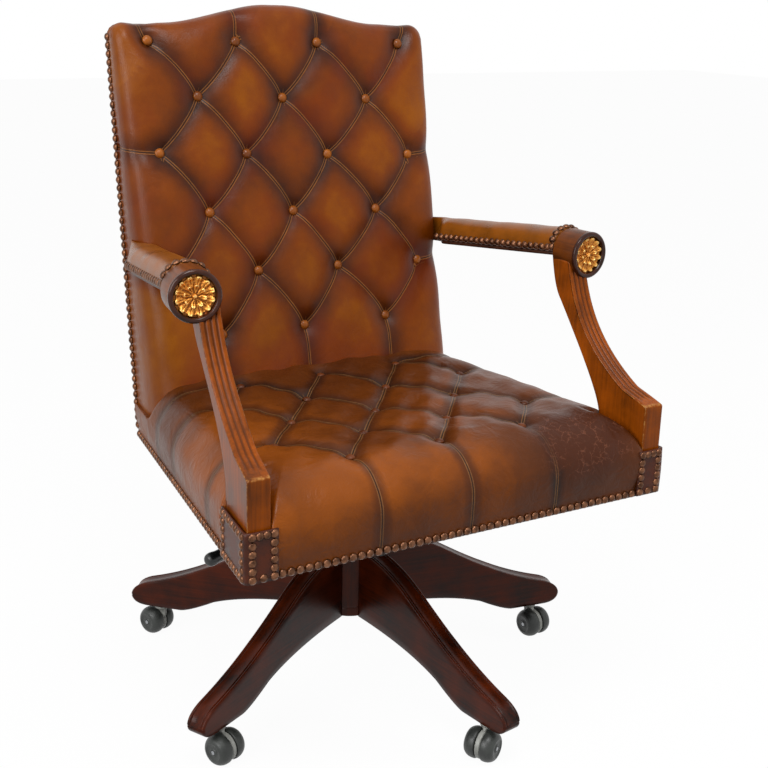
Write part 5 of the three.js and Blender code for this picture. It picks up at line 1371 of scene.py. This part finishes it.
def make_caster(number):
    """A twin-wheel caster: two barrel wheels either side of a pale hood, on a stem in the leg."""
    turn = BASE_TURN + 2 * np.pi * (number - 1) / LEG_COUNT
    stem = np.array([STEM_REACH * math.cos(turn), STEM_REACH * math.sin(turn), 0])
    heading = math.radians(CASTER_HEADINGS[number - 1])
    along_y = lambda points: points[:, [0, 2, 1]] * [1, 1, -1] + [CASTER_TRAIL, 0, WHEEL_RADIUS]
    body = f"caster_{number}"
    band, band_faces = lathe(rounded_profile([(0.0034, -0.0039), (0.0186, -0.0039), (0.0202, -0.0028),
                                              (0.0202, 0.0028), (0.0186, 0.0039), (0.0034, 0.0039),
                                              (0.0034, -0.0039)], 0.0008, 3), 48)
    neck = loft([(0.006, 0.0, 0.0, 0.028), (0.006, 0.013, 0.0036, 0.028), (0.004, 0.0125, 0.0038, 0.036),
                 (0.001, 0.0100, 0.0040, 0.0435), (0, 0.0100, 0.0072, 0.0456), (0, 0.0, 0.0, 0.0456)])
    stem_line = [(0, 0.0450), (0.0095, 0.0450), (0.011, 0.0462), (0.011, 0.0495), (0.0098, 0.0507),
                 (0.0055, 0.0507), (0.0055, 0.0747), (0, 0.0747)]
    collar = lathe(rounded_profile(stem_line, 0.0006, 3), 40)
    shape = merged((along_y(band), band_faces), neck, collar)
    make(f"{body}_fork", (about_z(shape[0], heading, stem), shape[1]), body,
         finish_for("grey_plastic"), [f"{body}_hood"])
    for label, side in (("left", -1), ("right", 1)):
        inner, outer, r = 0.0043, 0.0223, WHEEL_RADIUS
        barrel = [
            (0.0033, inner), (0.0195, inner), (r - 0.0006, inner + 0.0006), (r, inner + 0.0022),
            (r, inner + 0.0062), (r * 0.975, inner + 0.0096), (r * 0.90, inner + 0.0134),
            (r * 0.78, inner + 0.0165), (r * 0.66, outer - 0.0004), (r * 0.58, outer),
            (r * 0.50, outer - 0.0012), (r * 0.30, outer - 0.0016), (r * 0.24, outer - 0.0002),
            (0.0033, outer - 0.0002), (0.0033, inner)]
        profile = rounded_profile(barrel, 0.0022, 4)
        points, faces = lathe(profile, 56)
        placed = about_z(along_y(points * [1, 1, side]), heading, stem)
        make(f"{body}_tread_{label}", (placed, faces), f"{body}_wheel_{label}", finish_for("tread"),
             [f"{body}_wheel_{label}"])


# ------------------------------------------------------------ lift, mechanism and underside

def make_mechanism():
    """The gas lift, the height lever with its grip, and the knob that sets the tilt."""
    outer = [(0.0053, 0.1033), (0.0235, 0.1033), (0.025, 0.105), (0.025, 0.2458), (0.0238, 0.2473),
             (0.0143, 0.2473), (0.0143, 0.1973), (0.0232, 0.1973), (0.0232, 0.1073), (0.0053, 0.1073),
             (0.0053, 0.1033)]
    column = [(0.0053, 0.1193), (0.0135, 0.1193), (0.014, 0.1200), (0.014, 0.3028), (0.0135, 0.3033),
              (0, 0.3033), (0, 0.2473), (0.0053, 0.2473), (0.0053, 0.1193)]
    turned_piece("lift_tube", outer, 0.0008, "base", "black_steel", ["gas_lift_cylinder"])
    turned_piece("lift_column", column, 0.0004, "lift", "bright_steel", ["gas_lift_column"])
    pivot, end = np.array([-0.0435, -0.022, 0.2873]), np.array([-0.262, -0.106, 0.2793])
    along = (end - pivot) / np.linalg.norm(end - pivot)
    path = [pivot - along * 0.020, pivot - along * 0.0065, pivot, pivot + along * 0.0065]
    path += [pivot + along * d for d in np.linspace(0.012, np.linalg.norm(end - pivot) - 0.001, 24)]
    radius = [0.0045, 0.0048, 0.0064, 0.0048] + [0.0045] * 24
    make("lever_bar", tube(path, radius, 24), "height_lever", finish_for("bright_steel"),
         ["height_lever"])
    grip = [(0, -0.018), (0.0066, -0.018), (0.0080, -0.0145), (0.0082, 0.0), (0.0095, 0.0085),
            (0.0086, 0.0145), (0.0050, 0.0178), (0, 0.018)]
    turned_piece("lever_grip", grip, 0.003, "height_lever", "black_plastic",
                 ["lever_knob"], sides=40, place=end, axis=along)
    top = 0.2407
    knob = [(0, top - 0.022), (0.019, top - 0.022), (0.0218, top - 0.0195), (0.022, top - 0.0075),
            (0.0195, top - 0.005), (0.0176, top - 0.0042), (0.0132, top - 0.0004), (0.0054, top),
            (0.0053, top - 0.0157), (0, top - 0.0157)]
    turned_piece("tilt_knob", knob, 0.0018, "tension_knob", "black_plastic",
                 ["tension_knob"], sides=96, place=(0, -0.078, 0), lobes=8, lobe_depth=0.0026)


def make_dust_cover():
    """The black cloth tacked under the seat frame: a flat sheet with a shallow ripple along its edges,
    z = z0 + 0.1 mm sin, and a wall of 0.5 mm."""
    low, high = (np.array(corner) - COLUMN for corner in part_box("dust_cover"))
    count = 60
    u, v = np.meshgrid(np.linspace(-1, 1, count), np.linspace(-1, 1, count), indexing="ij")
    y = low[1] + (high[1] - low[1]) * (v + 1) / 2
    half = high[0] - (y - low[1]) * math.tan(SPLAY)
    x = u * half
    rim = np.maximum(np.abs(u), np.abs(v)) ** 8
    z = low[2] + 0.0005 + 0.0001 * np.sin(x * 260 + y * 240) * rim
    upper = np.stack([x, y, z + 0.0005], -1).reshape(-1, 3)
    lower = np.stack([x, y, z], -1).reshape(-1, 3)
    faces = quads(count, count)
    index = np.arange(count * count).reshape(count, count)
    border = np.concatenate([index[:, 0], index[-1, 1:], index[-2::-1, -1], index[0, -2:0:-1]])
    following = np.roll(border, -1)
    wall = np.stack([border, following, following + count * count, border + count * count], -1)
    shape = np.vstack([upper, lower]), np.vstack([faces, faces[:, ::-1] + count * count, wall])
    cover = make("dust_cloth", shape, "seat", finish_for("black_cloth"), ["dust_cover"])


KEPT = {
    "tilt_housing": "black_steel", "tilt_pin": "bright_steel", "tension_spring": "bright_steel",
    "tension_bolt": "bright_steel", "seat_plate": "black_steel", "seat_frame": "beech",
    "seat_webbing": "jute", "back_frame": "beech", "gas_lift_rod": "bright_steel",
    **{f"caster_{k}_axle": "bright_steel" for k in range(1, LEG_COUNT + 1)},
}


def finish_kept_nodes():
    """Gives each frame node that stays in view its material."""
    for name, key in KEPT.items():
        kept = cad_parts[name]
        for place in kept.material_slots:
            place.material = finish_for(key)


# ------------------------------------------------------------ stage

CAMERA_PLACE = (-0.873, -1.508, 1.003)
CAMERA_AZIMUTH, CAMERA_PITCH, CAMERA_ROLL = (math.radians(a) for a in (-31.01, 17.351, 1.463))


def make_camera():
    """A 59 mm lens a little above the seat, off the front right-hand corner of a sitter."""
    back = Vector((math.sin(CAMERA_AZIMUTH) * math.cos(CAMERA_PITCH),
                   -math.cos(CAMERA_AZIMUTH) * math.cos(CAMERA_PITCH), math.sin(CAMERA_PITCH)))
    level = Vector((math.cos(CAMERA_AZIMUTH), math.sin(CAMERA_AZIMUTH), 0))
    upright = back.cross(level)
    across = level * math.cos(CAMERA_ROLL) + upright * math.sin(CAMERA_ROLL)
    above = upright * math.cos(CAMERA_ROLL) - level * math.sin(CAMERA_ROLL)
    data = bpy.data.cameras.new("camera")
    camera = bpy.data.objects.new("camera", data)
    data.lens, data.sensor_width = 59.2, 36.0
    data.shift_x, data.shift_y = -0.0034, -0.0026
    data.clip_end = 60.0
    camera.matrix_world = Matrix((across, above, back)).transposed().to_4x4()
    camera.location = CAMERA_PLACE
    bpy.context.scene.collection.objects.link(camera)
    bpy.context.scene.camera = camera


def make_lamp(name, place, aim, size, power, mirrored=True):
    """A square soft box that faces a point. One that isn't mirrored lights the chair but shows in no
    reflection."""
    data = bpy.data.lights.new(name, "AREA")
    data.shape, data.size, data.energy = "SQUARE", size, power
    lamp = bpy.data.objects.new(name, data)
    lamp.visible_glossy = mirrored
    lamp.location = place
    lamp.rotation_euler = (Vector(aim) - Vector(place)).to_track_quat("-Z", "Y").to_euler()
    bpy.context.scene.collection.objects.link(lamp)


def seen_plainly(tree, rays):
    """1 for rays from the camera, in reflections and through glass, and 0 for all others."""
    straight = node(tree, "Math", {"operation": "MAXIMUM"},
                    {0: (rays, "Is Camera Ray"), 1: (rays, "Is Transmission Ray")})
    return node(tree, "Math", {"operation": "MAXIMUM"}, {0: (straight, 0), 1: (rays, "Is Glossy Ray")})


def make_world(level):
    """An even fill light of one level, and a white backdrop to the camera, in reflections and through
    glass."""
    world = bpy.data.worlds.new("studio")
    bpy.context.scene.world = world
    world.use_nodes = True
    tree = world.node_tree
    tree.nodes.clear()
    seen = seen_plainly(tree, node(tree, "LightPath"))
    white = node(tree, "Background", {"Color": (1, 1, 1, 1), "Strength": 1.0})
    soft = node(tree, "Background", {"Color": (1, 1, 1, 1), "Strength": level})
    mixed = node(tree, "MixShader", None, {0: (seen, 0), 1: (soft, 0), 2: (white, 0)})
    node(tree, "OutputWorld", None, {"Surface": (mixed, 0)})


def make_floor():
    """A wide floor, white with the chair's shadow on it to the camera, in reflections and through glass,
    and grey to the light that it sends back up."""
    finish, tree, shader = blank("studio floor", Roughness=0.9)
    seen = seen_plainly(tree, node(tree, "LightPath"))
    shade = node(tree, "Mix", {"data_type": "RGBA", 6: linear("#211f1d"), 7: linear("#ffffff")},
                 {0: (seen, 0)})
    feed(tree, shader, Base_Color=(shade, 2))
    glow = node(tree, "Emission", {"Color": (1, 1, 1, 1), "Strength": 1.0})
    # the last 4 per cent is lit as paint is, and shows the shadow
    part = node(tree, "Math", {"operation": "MULTIPLY", 1: 0.96}, {0: (seen, 0)})
    mixed = node(tree, "MixShader", None, {0: (part, 0), 1: (shader, 0), 2: (glow, 0)})
    output = next(n for n in tree.nodes if n.type == "OUTPUT_MATERIAL")
    tree.links.new(mixed.outputs[0], output.inputs["Surface"])
    mesh = bpy.data.meshes.new("floor")
    reach = 12.0
    corners = [(-reach, -reach, 0), (reach, -reach, 0), (reach, reach, 0), (-reach, reach, 0)]
    mesh.from_pydata(corners, [], [(0, 1, 2, 3)])
    mesh.materials.append(finish)
    floor = bpy.data.objects.new("floor", mesh)
    bpy.context.scene.collection.objects.link(floor)


# ------------------------------------------------------------ add-on

class ChairStage(bpy.types.Operator):
    """Camera, lamps, world and floor"""
    bl_idname = "chair.make_stage"
    bl_label = "Stage"

    def execute(self, context):
        view = context.scene.view_settings
        view.view_transform = "Standard"
        make_camera()
        make_world(0.28)
        make_floor()
        make_lamp("key", (-2.6, -0.9, 1.7), (0, 0, 0.6), 1.7, 50)
        make_lamp("rim", (2.3, -1.4, 1.3), (0, 0, 0.5), 1.0, 30, mirrored=False)
        make_lamp("top", (-0.5, -1.0, 2.7), (0, 0, 0.5), 1.0, 31)
        return {"FINISHED"}


class ChairBack(bpy.types.Operator):
    """Buttoned back cushion, its buttons and the outside panel"""
    bl_idname = "chair.make_back"
    bl_label = "Back"

    def execute(self, context):
        make_back(context.scene.chair_upholstery)
        make_back_panel()
        return {"FINISHED"}


class ChairSeat(bpy.types.Operator):
    """Buttoned seat cushion, its buttons and the cloth under it"""
    bl_idname = "chair.make_seat"
    bl_label = "Seat"

    def execute(self, context):
        make_seat(context.scene.chair_upholstery)
        make_dust_cover()
        return {"FINISHED"}


class ChairArms(bpy.types.Operator):
    """Arm posts, scrolls, rosettes and pads"""
    bl_idname = "chair.make_arms"
    bl_label = "Arms"

    def execute(self, context):
        for label, side in LEFT_RIGHT:
            make_arm(label, side, context.scene.chair_trim)
        return {"FINISHED"}


class ChairNails(bpy.types.Operator):
    """Corner patches and the nail heads of the seat and the back"""
    bl_idname = "chair.make_nails"
    bl_label = "Nails and patches"

    def execute(self, context):
        trim = context.scene.chair_trim
        nails("seat_nails", seat_nail_rows(trim), trim, ["seat_nail_trim"])
        nails("back_nails", back_nail_rows(trim), trim, ["back_nail_trim"])
        for label, side in LEFT_RIGHT:
            nails(f"patch_nails_{label}", make_patch(label, side, trim), trim)
        return {"FINISHED"}


class ChairBase(bpy.types.Operator):
    """Five moulded legs and the hub"""
    bl_idname = "chair.make_base"
    bl_label = "Base"

    def execute(self, context):
        for number in range(1, LEG_COUNT + 1):
            make_leg(number)
        make_hub()
        return {"FINISHED"}


class ChairCasters(bpy.types.Operator):
    """Five twin-wheel casters"""
    bl_idname = "chair.make_casters"
    bl_label = "Casters"

    def execute(self, context):
        for number in range(1, LEG_COUNT + 1):
            make_caster(number)
        return {"FINISHED"}


class ChairMechanism(bpy.types.Operator):
    """Gas lift, lever, tilt knob, and finishes for the frame's own steel and wood"""
    bl_idname = "chair.make_mechanism"
    bl_label = "Mechanism"

    def execute(self, context):
        make_mechanism()
        finish_kept_nodes()
        return {"FINISHED"}


STEPS = (ChairStage, ChairBack, ChairSeat, ChairArms, ChairNails, ChairBase, ChairCasters, ChairMechanism)


class ChairPanel(bpy.types.Panel):
    """The chair's settings and the steps that build it"""
    bl_idname = "CHAIR_PT_build"
    bl_label = "Buttoned swivel chair"
    bl_space_type = "VIEW_3D"
    bl_region_type = "UI"
    bl_category = "Chair"

    def draw(self, context):
        scene = context.scene
        for group in (scene.chair_upholstery, scene.chair_timber, scene.chair_trim):
            for key in type(group).__annotations__:
                self.layout.prop(group, key)
        for step in STEPS:
            self.layout.operator(step.bl_idname)


CLASSES = (ChairUpholstery, ChairTimber, ChairTrim, *STEPS, ChairPanel)


def register():
    """Adds the classes and the scene's settings."""
    for made in CLASSES:
        bpy.utils.register_class(made)
    bpy.types.Scene.chair_upholstery = bpy.props.PointerProperty(type=ChairUpholstery)
    bpy.types.Scene.chair_timber = bpy.props.PointerProperty(type=ChairTimber)
    bpy.types.Scene.chair_trim = bpy.props.PointerProperty(type=ChairTrim)


def unregister():
    """Removes them again."""
    for key in ("chair_upholstery", "chair_timber", "chair_trim"):
        delattr(bpy.types.Scene, key)
    for made in reversed(CLASSES):
        bpy.utils.unregister_class(made)


def main():
    """Builds the chair."""
    register()
    for step in STEPS:
        family, name = step.bl_idname.split(".")
        getattr(getattr(bpy.ops, family), name)()


if __name__ == "__main__":
    main()
